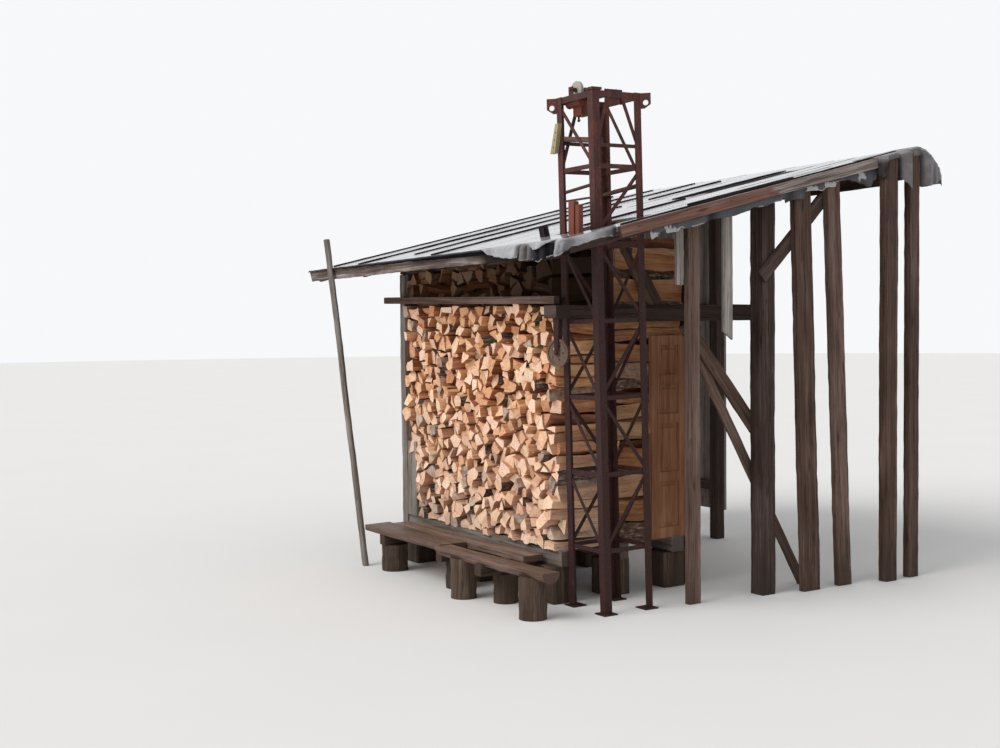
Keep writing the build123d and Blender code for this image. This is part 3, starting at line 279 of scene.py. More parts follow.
    def bump(self, height: bpy.types.NodeSocket, distance: float, strength: float = 1.0,
             below: bpy.types.NodeSocket | None = None) -> bpy.types.NodeSocket:
        """Turn a height into a normal.

        Args:
            height: the height, about 0 to 1.
            distance: what a height of 1 is, in metres.
            strength: how strongly it shows.
            below: the normal that it is laid on.

        Returns:
            The normal.
        """
        inputs: dict[object, object] = {"Height": height, "Distance": distance,
                                        "Strength": strength}
        if below is not None:
            inputs["Normal"] = below
        return self.node("Bump", inputs).outputs[0]

    def finish(self, colour: object, roughness: object, normal: bpy.types.NodeSocket,
               **fixed: float) -> bpy.types.Material:
        """Fill the shader's sockets.

        Args:
            colour: the base colour.
            roughness: the roughness.
            normal: the bumped normal.
            fixed: other sockets by name, with spaces as underscores.

        Returns:
            The finished material.
        """
        self.plug(colour, self.shader.inputs["Base Color"])
        self.plug(roughness, self.shader.inputs["Roughness"])
        self.plug(normal, self.shader.inputs["Normal"])
        for key, value in fixed.items():
            self.plug(value, self.shader.inputs[key.replace("_", " ")])
        return self.material


@dataclass(frozen=True)
class TimberFinish:
    """Timber that has stood outdoors, with its grain along each piece.

    It lies bare past one place up the slope, and past one place across it is painted near black
    as painted shade under the loose felt. Near the ground it is damp.
    """

    name: str
    dark: Colour
    mid: Colour
    pale: Colour
    dry: float = 0.85
    cracks: float = 0.7
    damp_height: float = 0.35
    bare_past: float = 9.0
    dark_past: float = 9.0
    sheen: float = 0.12

    def material(self) -> bpy.types.Material:
        """Build the material.

        Returns:
            A material that reads the attributes grain, tone and end.
        """
        g = Graph(self.name)
        grain = g.attribute("grain", "Vector")
        tone = g.attribute("tone")
        end = g.attribute("end")
        fibres = g.noise(g.stretch(grain, (95, 95, 2.4)), 1.0, 5, 0.6)
        streaks = g.noise(g.stretch(grain, (22, 22, 0.7)), 1.0, 4, 0.6, 0.4)
        patches = g.noise(g.stretch(grain, (6, 6, 1.8)), 1.0, 5, 0.6)
        value = g.total((fibres, 0.34), (streaks, 0.36), (patches, 0.30),
                        (g.maths("SUBTRACT", tone, 0.5), 0.16))
        colour = g.ramp(value, [(0.36, self.dark), (0.50, self.mid), (0.64, self.pale)])
        crack = g.cracks(grain, (30, 30, 0.8), 0.012, 0.6)
        knots = g.band(g.cells(g.stretch(grain, (9, 9, 1.9))), 0.05, 0.13, 1.0, 0.0)
        colour = g.mix(g.maths("MULTIPLY", crack, self.cracks), colour, shaded(self.dark, 0.30))
        colour = g.mix(g.maths("MULTIPLY", knots, 0.65), colour, shaded(self.dark, 0.55))
        cut = g.ramp(g.rings(grain, 900.0, 14, 5.0), [(0.0, self.dark), (1.0, self.mid)])
        colour = g.mix(end, colour, cut)
        x, y, z = g.axes()
        worn = g.maths("ADD", y, g.maths("MULTIPLY", patches, 1.1))
        bare = g.band(worn, self.bare_past + 0.5, self.bare_past + 0.62, 0.0, 0.85)
        colour = g.mix(bare, colour, g.ramp(fibres, [(0.40, (0.120, 0.095, 0.085)),
                                                     (0.62, (0.430, 0.370, 0.340))]))
        # Painted shade: past dark_past across, the timber is mixed to near black for the shade
        # under the loose felt.
        painted_flap_shade = g.band(x, self.dark_past, self.dark_past + 0.12, 0.0, 0.93)
        colour = g.mix(painted_flap_shade, colour, (0.008, 0.007, 0.007))
        rise = g.maths("ADD", z, g.maths("MULTIPLY", patches, 0.35))
        damp = g.band(rise, 0.0, self.damp_height + 0.2, 0.55, 0.0)
        colour = g.mix(damp, colour, (0.045, 0.040, 0.030))
        rough = g.band(patches, 0.3, 0.7, self.dry - 0.12, self.dry + 0.08)
        fine = g.bump(fibres, 0.0016, 0.6)
        deep = g.bump(g.maths("SUBTRACT", streaks, crack), 0.005, 0.55, fine)
        return g.finish(colour, rough, deep, Specular_IOR_Level=self.sheen)


@dataclass(frozen=True)
class FirewoodFinish:
    """Split firewood: raw faces, sawn ends with rings, and bark.

    A shaded row has painted shade: it is dimmer and warmer and goes dark past one place across.
    An open row is paler low down, as painted light where the light reaches it.
    """

    name: str = "split_firewood"
    shade: float = 1.0
    painted_shade_from: float = 9.0
    painted_shade_warmth: float = 0.0
    painted_light_low: float = 0.0

    def stops(self, *pairs: tuple[float, Colour]) -> list[tuple[float, Colour]]:
        """Give a ramp's stops, each colour dimmed by the shade."""
        return [(where, shaded(colour, self.shade)) for where, colour in pairs]

    def material(self) -> bpy.types.Material:
        """Build the material.

        Returns:
            A material that reads the attributes grain, tone, age, end and bark.
        """
        g = Graph(self.name)
        grain = g.attribute("grain", "Vector")
        tone = g.attribute("tone")
        age = g.attribute("age")
        end = g.attribute("end")
        bark = g.attribute("bark")
        fibres = g.noise(g.stretch(grain, (120, 120, 4)), 1.0, 5, 0.62)
        ribbons = g.noise(g.stretch(grain, (34, 34, 2.2)), 1.0, 4, 0.6, 0.5)
        blotches = g.noise(g.stretch(grain, (10, 10, 5)), 1.0, 4)
        value = g.total((fibres, 0.30), (ribbons, 0.42), (blotches, 0.28),
                        (g.maths("SUBTRACT", tone, 0.5), 0.34))
        split = g.ramp(value, self.stops(
            (0.30, (0.19, 0.058, 0.024)), (0.44, (0.46, 0.175, 0.070)),
            (0.57, (0.74, 0.37, 0.17)), (0.72, (0.94, 0.62, 0.38))))
        face = g.total((g.rings(grain, 1300.0, 18, 6.0), 0.22),
                       (g.noise(grain, 26, 5, 0.65), 0.48), (tone, 0.42))
        sawn = g.ramp(face, self.stops(
            (0.32, (0.40, 0.15, 0.065)), (0.46, (0.80, 0.41, 0.20)),
            (0.62, (0.97, 0.62, 0.39)), (0.82, (1.00, 0.82, 0.65))))
        kind = g.maths("FRACT", g.maths("MULTIPLY", tone, 37.0))
        pinkish = g.band(kind, 0.62, 0.70, 0.0, 0.55)
        ruddy = g.band(kind, 0.22, 0.14, 0.0, 0.60)
        sawn = g.mix(pinkish, sawn, shaded((1.00, 0.70, 0.55), self.shade))
        sawn = g.mix(ruddy, sawn, shaded((0.66, 0.28, 0.12), self.shade))
        colour = g.mix(end, split, sawn)
        x, _, z = g.axes()
        # Painted light: the open row is paler low down, where the light reaches it.
        low = g.band(z, 1.45, 0.35, 0.0, self.painted_light_low)
        colour = g.mix(low, colour, (1.00, 0.78, 0.62))
        weather = g.ramp(g.noise(grain, 24, 5, 0.65), [(0.35, (0.11, 0.085, 0.07)),
                                                       (0.62, (0.44, 0.38, 0.33))])
        colour = g.mix(age, colour, weather)
        crack = g.cracks(grain, (46, 46, 1.6), 0.014)
        colour = g.mix(g.maths("MULTIPLY", crack, 0.7), colour, (0.07, 0.028, 0.014))
        skin = g.noise(g.stretch(grain, (60, 60, 20)), 1.0, 6, 0.7)
        rind = g.ramp(skin, [(0.36, (0.035, 0.024, 0.018)), (0.52, (0.14, 0.095, 0.07)),
                             (0.66, (0.42, 0.36, 0.31))])
        colour = g.mix(bark, colour, rind)
        # Painted shade: a shaded row is mixed towards a dim orange and goes near black past one
        # place across.
        dark = g.band(x, self.painted_shade_from, self.painted_shade_from + 1.5, 0.0, 0.88)
        colour = g.mix(self.painted_shade_warmth, colour, (0.105, 0.034, 0.008))
        colour = g.mix(dark, colour, (0.010, 0.006, 0.004))
        fine = g.bump(fibres, 0.0018, 0.7)
        torn = g.bump(g.maths("ADD", ribbons, g.maths("MULTIPLY", skin, bark)), 0.006, 0.6, fine)
        return g.finish(colour, 0.82, torn, Specular_IOR_Level=0.12)


@dataclass(frozen=True)
class FeltFinish:
    """Bitumen felt, wet and shining, with grit, stains, painted shade and pale torn fibres."""

    name: str
    dark: Colour
    pale: Colour
    gloss: float
    wrinkle: float
    coat: float = 0.1

    def material(self) -> bpy.types.Material:
        """Build the material.

        Returns:
            A material that reads the attribute torn, and the one that carries real stains and
            painted shade.
        """
        g = Graph(self.name)
        place = g.place()
        torn = g.attribute("torn")
        stain_and_shade = g.attribute("stain_and_shade")
        slope = g.stretch(place, (1.0, 0.22, 1.0))
        runs = g.noise(slope, 9, 5, 0.62, 0.6)
        stains = g.noise(place, 3.2, 5, 0.6)
        grit = g.noise(place, 420, 2, 0.6)
        value = g.total((runs, 0.5), (stains, 0.5))
        colour = g.ramp(value, [(0.38, self.dark), (0.62, self.pale)])
        colour = g.mix(g.band(grit, 0.58, 0.66, 0.0, 0.35), colour, (0.34, 0.34, 0.35))
        # Darker by the second mark: real stains and seams on the roof, painted shade on the loose
        # felt.
        colour = g.mix(stain_and_shade, colour, shaded(self.dark, 0.16))
        frayed = g.ramp(grit, [(0.40, (0.26, 0.25, 0.25)), (0.60, (0.56, 0.55, 0.55))])
        colour = g.mix(torn, colour, frayed)
        wet = g.band(value, 0.36, 0.64, self.gloss, self.gloss + 0.28)
        creases = g.noise(slope, 26, 4, 0.6, 0.8)
        fine = g.bump(grit, 0.0006, 0.35)
        soft = g.bump(creases, 0.010, self.wrinkle, fine)
        clean = g.band(stain_and_shade, 0.05, 0.8, 1.0, 0.0)
        return g.finish(colour, wet, soft, Coat_Weight=g.maths("MULTIPLY", clean, self.coat),
                        Coat_Roughness=0.2, Specular_IOR_Level=g.maths("MULTIPLY", clean, 0.5))


@dataclass(frozen=True)
class SteelFinish:
    """Old painted steel with rust that runs and pits it, and painted shade below the roof."""

    name: str
    paint: Colour
    rust: Colour
    bare: Colour
    rusted: float
    metallic: float = 0.0
    shaded_below: float = -9.0

    def material(self) -> bpy.types.Material:
        """Build the material.

        Returns:
            A material laid by place alone.
        """
        g = Graph(self.name)
        place = g.place()
        runs = g.noise(g.stretch(place, (26, 26, 5)), 1.0, 6, 0.66, 0.4)
        spots = g.noise(place, 95, 5, 0.7)
        clouds = g.noise(place, 7, 4)
        value = g.total((runs, 0.55), (spots, 0.25), (clouds, 0.20))
        edge = 0.62 - 0.24 * self.rusted
        shade = g.ramp(spots, [(0.36, shaded(self.rust, 0.55)), (0.62, self.rust)])
        paint = g.ramp(clouds, [(0.35, shaded(self.paint, 0.75)), (0.65, self.paint)])
        colour = g.mix(g.band(value, edge, edge + 0.07), paint, shade)
        colour = g.mix(g.band(spots, 0.64, 0.70, 0.0, 0.7), colour, self.bare)
        # Painted shade: below the roof the steel is mixed to near black, standing in for the shade
        # the roof casts.
        painted_roof_shade = g.band(g.axes()[2], self.shaded_below - 0.25, self.shaded_below + 0.15, 0.80, 0.0)
        colour = g.mix(painted_roof_shade, colour, g.ramp(spots, [(0.40, (0.012, 0.005, 0.005)),
                                                   (0.66, (0.050, 0.020, 0.018))]))
        rough = g.band(value, edge - 0.04, edge + 0.08, 0.48, 0.82)
        pits = g.bump(spots, 0.0012, 0.8)
        scale = g.bump(runs, 0.0025, 0.5, pits)
        return g.finish(colour, rough, scale, Metallic=self.metallic, Specular_IOR_Level=0.2)


@dataclass(frozen=True)
class FloorFinish:
    """A plain pale studio floor."""

    name: str = "studio_floor"
    tint: Colour = (0.80, 0.79, 0.78)

    def material(self) -> bpy.types.Material:
        """Build the material.

        Returns:
            A matt material with a very faint unevenness.
        """
        g = Graph(self.name)
        cloud = g.noise(g.place(), 0.7, 3)
        colour = g.ramp(cloud, [(0.3, shaded(self.tint, 0.985)), (0.7, self.tint)])
        return g.finish(colour, 0.9, g.bump(cloud, 0.001, 0.1))


class Look(Enum):
    """The named finishes of the store."""

    DARK_POST = TimberFinish("dark_post", (0.024, 0.015, 0.012), (0.066, 0.043, 0.035),
                             (0.145, 0.104, 0.088))
    BROWN_POST = TimberFinish("brown_post", (0.042, 0.025, 0.019), (0.112, 0.068, 0.053),
                              (0.225, 0.155, 0.128))
    BATTEN = TimberFinish("felt_batten", (0.010, 0.008, 0.008), (0.030, 0.024, 0.023),
                          (0.080, 0.066, 0.062), sheen=0.0)
    # Past x = -0.36 the eave board is painted near black, as painted shade under the loose felt.
    EAVE = TimberFinish("eave_board", (0.045, 0.030, 0.024), (0.150, 0.110, 0.092),
                        (0.540, 0.500, 0.480), dark_past=-0.36)
    GREY_TIMBER = TimberFinish("grey_timber", (0.075, 0.060, 0.050), (0.185, 0.155, 0.135),
                               (0.360, 0.325, 0.300))
    PALE_BOARD = TimberFinish("pale_board", (0.120, 0.100, 0.085), (0.330, 0.295, 0.270),
                              (0.560, 0.525, 0.500))
    FASCIA = TimberFinish("brown_fascia", (0.072, 0.033, 0.024), (0.155, 0.078, 0.058),
                          (0.280, 0.165, 0.130), bare_past=1.42)
    BENCH = TimberFinish("bench_plank", (0.060, 0.036, 0.026), (0.150, 0.095, 0.072),
                         (0.290, 0.205, 0.165), dry=0.5, damp_height=0.1)
    DOOR = TimberFinish("old_varnish", (0.130, 0.054, 0.028), (0.270, 0.120, 0.062),
                        (0.400, 0.205, 0.120), cracks=0.2)
    SAWN_BASE = TimberFinish("base_timber", (0.034, 0.021, 0.015), (0.092, 0.058, 0.042),
                             (0.185, 0.130, 0.100))
    # Lit and shaded copies of one firewood finish: the open front row is paler low down as painted
    # light; the rear row and the loose logs under the roof are dimmed and warmed as painted shade.
    FIREWOOD = FirewoodFinish(painted_light_low=0.42)
    SIDE_FIREWOOD = FirewoodFinish("side_firewood", 0.66, painted_shade_warmth=0.25)
    SHADED_FIREWOOD = FirewoodFinish("shaded_firewood", 0.50, painted_shade_from=-1.6, painted_shade_warmth=0.55)
    # One felt at several brightnesses: pale_felt is lightened as painted light on the lit corner
    # sheet; verge_felt is darkened as painted shade for undersides, the eave's shadow band and the
    # hanging strip; wet_felt's pale grey is partly its own colour and partly painted reflection of
    # the sky.
    FELT = FeltFinish("wet_felt", (0.165, 0.160, 0.168), (0.470, 0.465, 0.485), 0.06, 0.12,
                      coat=0.5)
    PALE_FELT = FeltFinish("pale_felt", (0.130, 0.128, 0.138), (0.440, 0.435, 0.455), 0.24, 0.35,
                           coat=0.3)
    LOOSE_FELT = FeltFinish("loose_felt", (0.050, 0.042, 0.044), (0.185, 0.160, 0.162), 0.32, 0.4)
    VERGE_FELT = FeltFinish("verge_felt", (0.016, 0.016, 0.020), (0.060, 0.058, 0.070), 0.42, 0.7)
    MAST = SteelFinish("mast_steel", (0.075, 0.030, 0.027), (0.160, 0.056, 0.040),
                       (0.220, 0.150, 0.135), 0.50, shaded_below=2.5)
    WHEEL = SteelFinish("pulley_iron", (0.165, 0.112, 0.085), (0.130, 0.058, 0.036),
                        (0.360, 0.300, 0.260), 0.40)
    PALE_WHEEL = SteelFinish("sheave_iron", (0.520, 0.500, 0.440), (0.220, 0.120, 0.070),
                             (0.620, 0.600, 0.560), 0.12, 0.1)
    RED_CASE = SteelFinish("red_case", (0.200, 0.056, 0.034), (0.110, 0.034, 0.022),
                           (0.340, 0.200, 0.150), 0.40)
    PALE_CASE = SteelFinish("pale_case", (0.430, 0.370, 0.220), (0.160, 0.075, 0.040),
                            (0.560, 0.520, 0.420), 0.25)
    FLOOR = FloorFinish()


class Paintbox:
    """Builds each finish once and hands out its material."""

    def __init__(self) -> None:
        """Start with nothing built."""
        self.built: dict[Look, bpy.types.Material] = {}

    def get(self, look: Look) -> bpy.types.Material:
        """Give the material of a finish.

        Args:
            look: the finish.

        Returns:
            Its material.
        """
        if look not in self.built:
            self.built[look] = look.value.material()
        return self.built[look]


PAINT = Paintbox()


def wobble(point: Vector, scale: float, seed: float) -> Vector:
    """Give smooth random sway at a point.

    Args:
        point: where.
        scale: how fine the sway is.
        seed: a shift that makes it differ from others.

    Returns:
        A vector of about -1 to 1 each way.
    """
    return noise.noise_vector(point * scale + Vector((seed, -seed, 0.37 * seed)))


def held(value: float, low: float = 0.0, high: float = 1.0) -> float:
    """Give a value held between two limits."""
    return min(high, max(low, value))


def spread(start: float, end: float, count: int) -> list[float]:
    """Give evenly spaced places from start to end, with so many steps between them."""
    return [start + (end - start) * i / count for i in range(count + 1)]


def paint(piece: bpy.types.Object, look: Look) -> None:
    """Give a piece one finish in place of what it has."""
    piece.data.materials.clear()
    piece.data.materials.append(PAINT.get(look))


def new_object(name: str, data: bpy.types.ID) -> bpy.types.Object:
    """Give a mesh, lamp or camera an object that is linked to the scene."""
    piece = bpy.data.objects.new(name, data)
    bpy.context.scene.collection.objects.link(piece)
    return piece


def show(piece: bpy.types.Object, look: Look, stands_for: tuple[str, ...] = (),
         body: str = STORE) -> bpy.types.Object:
    """Finish a new piece and set it on its body.

    Args:
        piece: the object.
        look: its finish.
        stands_for: the CAD nodes that it replaces.
        body: the body that it moves with.

    Returns:
        The same object.
    """
    paint(piece, look)
    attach(piece, body)
    if stands_for:
        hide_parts(*stands_for)
    return piece


class MeshWriter:
    """Collects points and faces, with what the finishes read, and makes one object."""

    FACE_DATA = ("tone", "age", "end", "bark")

    def __init__(self, name: str) -> None:
        """Start an empty mesh."""
        self.name = name
        self.points: list[Vector] = []
        self.grain: list[Vector] = []
        self.faces: list[tuple[int, ...]] = []
        self.marks: list[tuple[float, float, float, float]] = []

    def point(self, place: Vector, grain: Vector) -> int:
        """Add a point.

        Args:
            place: where it is.
            grain: its coordinates in the wood, with z along the grain.

        Returns:
            Its number.
        """
        self.points.append(place)
        self.grain.append(grain)
        return len(self.points) - 1

    def face(self, corners: tuple[int, ...], tone: float, age: float = 0.0, end: float = 0.0,
             bark: float = 0.0) -> None:
        """Add a face.

        Args:
            corners: its points' numbers.
            tone: light or dark, 0 to 1.
            age: how grey it is, 0 to 1.
            end: 1 on a sawn end.
            bark: 1 on bark.
        """
        self.faces.append(corners)
        self.marks.append((tone, age, end, bark))

    def make(self) -> bpy.types.Object:
        """Make the object.

        Returns:
            The object, linked to the scene.
        """
        mesh = bpy.data.meshes.new(self.name)
        mesh.from_pydata([tuple(p) for p in self.points], [], self.faces)
        mesh.update()
        grain = mesh.attributes.new("grain", "FLOAT_VECTOR", "POINT")
        grain.data.foreach_set("vector", np.array(self.grain, np.float32).ravel())
        marks = np.array(self.marks, np.float32)
        for column, name in enumerate(self.FACE_DATA):
            layer = mesh.attributes.new(name, "FLOAT", "FACE")
            layer.data.foreach_set("value", np.ascontiguousarray(marks[:, column]))
        return new_object(self.name, mesh)


# The roof's plane, which the stacks and the felt follow


@dataclass
class RoofFrame:
    """The plane of the roof's top, measured at its front right corner."""

    x: float = 0.700
    y: float = -0.390
    z: float = 2.437
    rise: float = 0.2375
    side_rise: float = 0.0175

    def at(self, x: float, y: float, lift: float = 0.0) -> Vector:
        """Give a point on the roof or over it.

        Args:
            x: across.
            y: up the slope, in plan.
            lift: height out of the roof.

        Returns:
            The point.
        """
        z = self.z + self.rise * (y - self.y) + self.side_rise * (x - self.x)
        return Vector((x, y, z)) + self.out() * lift

    def out(self) -> Vector:
        """Give the direction out of the roof."""
        return Vector((-self.side_rise, -self.rise, 1)).normalized()


ROOF = RoofFrame()


# Firewood

STACK_LEFT = -2.085
# The tone of the mass inside each row: the darkest wood colour, as painted shade.
CORE_SHADE_TONE = -1.5


def clip(outline: Outline, nx: float, nz: float, limit: float) -> Outline:
    """Cut a convex outline with a line.

    Args:
        outline: the corners.
        nx: the line's normal, across.
        nz: the line's normal, up.
        limit: what lies at or below it along the normal is kept.

    Returns:
        The corners that are left.
    """
    kept: Outline = []
    for i, (x0, z0) in enumerate(outline):
        x1, z1 = outline[(i + 1) % len(outline)]
        d0 = x0 * nx + z0 * nz - limit
        d1 = x1 * nx + z1 * nz - limit
        if d0 <= 0:
            kept.append((x0, z0))
        if d0 * d1 < 0:
            t = d0 / (d0 - d1)
            kept.append((x0 + (x1 - x0) * t, z0 + (z1 - z0) * t))
    return kept


def middle_of(outline: Outline) -> tuple[float, float]:
    """Give the mean of an outline's corners.

    Args:
        outline: the corners.

    Returns:
        The mean point.
    """
    count = len(outline)
    return sum(p[0] for p in outline) / count, sum(p[1] for p in outline) / count


def corner_area(outline: Outline, i: int) -> float:
    """Give the area that is lost if a corner is cut off.

    Args:
        outline: the corners.
        i: which corner.

    Returns:
        The area of the triangle at that corner.
    """
    ax, az = outline[i - 1]
    bx, bz = outline[i]
    cx, cz = outline[(i + 1) % len(outline)]
    return abs((bx - ax) * (cz - az) - (cx - ax) * (bz - az)) / 2


@dataclass
class Billet:
    """One split log, drawn about its own long axis."""

    outline: Outline
    length: float
    rng: random.Random
    seed: float
    steps: int = 5
    rough: float = 0.004
    bark_chance: float = 0.35
    grey_chance: float = 0.06
    rim_step: float = 0.028
    rind_bulge: float = 0.16
    split_bulge: float = 0.07
    end_tilt: float = 0.16
    saw_marks: float = 0.0025
    pith: tuple[float, float] = field(init=False)

    def __post_init__(self) -> None:
        """Put the pith near one corner, as in a wedge split from a round."""
        x, z = self.rng.choice(self.outline)
        self.pith = (x * self.rng.uniform(0.8, 1.5), z * self.rng.uniform(0.8, 1.5))

    def sides(self) -> list[tuple[float, float, float, float]]:
        """Give each side of the outline by its two ends."""
        return [(*a, *b) for a, b in zip(self.outline, self.outline[1:] + self.outline[:1])]

    def rim(self) -> tuple[Outline, list[float]]:
        """Add points along each side, and bulge the side that has bark.

        Returns:
            The corners, and for each side whether it has bark.
        """
        sides = self.sides()
        pith_x, pith_z = self.pith
        reach = [math.hypot(x0 + x1 - 2 * pith_x, z0 + z1 - 2 * pith_z)
                 for x0, z0, x1, z1 in sides]
        far = reach.index(max(reach))
        has_bark = self.rng.random() < self.bark_chance
        points: Outline = []
        bark: list[float] = []
        for i, (x0, z0, x1, z1) in enumerate(sides):
            run = math.hypot(x1 - x0, z1 - z0)
            pieces = max(1, min(4, round(run / self.rim_step)))
            rind = 1.0 if has_bark and i == far else 0.0
            bulge = self.rind_bulge
            if not rind:
                bulge = self.rng.uniform(-self.split_bulge, self.split_bulge)
            for k in range(pieces):
                t = k / pieces
                push = 4 * t * (1 - t) * bulge
                points.append((x0 + (x1 - x0) * t + push * (z1 - z0),
                               z0 + (z1 - z0) * t - push * (x1 - x0)))
                bark.append(rind)
        return points, bark

    def write(self, writer: MeshWriter, place: Matrix) -> None:
        """Add the log to a mesh.

        Args:
            writer: the mesh.
            place: where the log's middle is; its length runs along local y.
        """
        rng = self.rng
        rim, bark = self.rim()
        count = len(rim)
        tone = held(rng.gauss(0.5, 0.22))
        age = rng.uniform(0.45, 0.9) if rng.random() < self.grey_chance else rng.uniform(0, 0.12)
        bend = (rng.uniform(-1, 1) * self.rough, rng.uniform(-1, 1) * self.rough)
        tilts = [(rng.gauss(0, self.end_tilt), rng.gauss(0, self.end_tilt)) for _ in range(2)]
        shift = rng.uniform(0, 400)
        side_tones = [held(tone + rng.gauss(0, 0.13)) for _ in self.outline]
        rings: list[list[int]] = []
        for k, t in enumerate(spread(0.0, 1.0, self.steps)):
            y = (t - 0.5) * self.length
            grow = 1 + 0.05 * math.sin(3.1 * t + self.seed) + rng.uniform(-0.02, 0.02)
            sway = math.sin(math.pi * t)
            ring = []
            for x, z in rim:
                cut = 0.0
                if k in (0, self.steps):
                    tilt = tilts[0] if k == 0 else tilts[1]
                    cut = x * tilt[0] + z * tilt[1] + rng.uniform(-self.saw_marks, self.saw_marks)
                local = Vector((x * grow + bend[0] * sway * 2, y + cut,
                                z * grow + bend[1] * sway * 2))
                if 0 < k < self.steps:
                    local += wobble(Vector((x * 3, y * 0.6, z * 3)), 9.0, self.seed) * self.rough
                grain = Vector((x - self.pith[0], z - self.pith[1], y + shift))
                ring.append(writer.point(place @ local, grain))
            rings.append(ring)
        for low, high in zip(rings, rings[1:]):
            for i in range(count):
                j = (i + 1) % count
                side = side_tones[i * len(self.outline) // count]
                writer.face((low[i], high[i], high[j], low[j]), side, age, bark=bark[i])
        for ring, sign in ((rings[0], -1), (rings[-1], 1)):
            proud = rng.uniform(-0.004, 0.006)
            hub = writer.point(place @ Vector((0, sign * (self.length / 2 + proud), 0)),
                               Vector((-self.pith[0], -self.pith[1],
                                       sign * self.length / 2 + shift)))
            for i in range(count):
                near, far = ring[i], ring[(i + 1) % count]
                corners = (near, far, hub) if sign < 0 else (far, near, hub)
                writer.face(corners, tone, age, end=1.0)


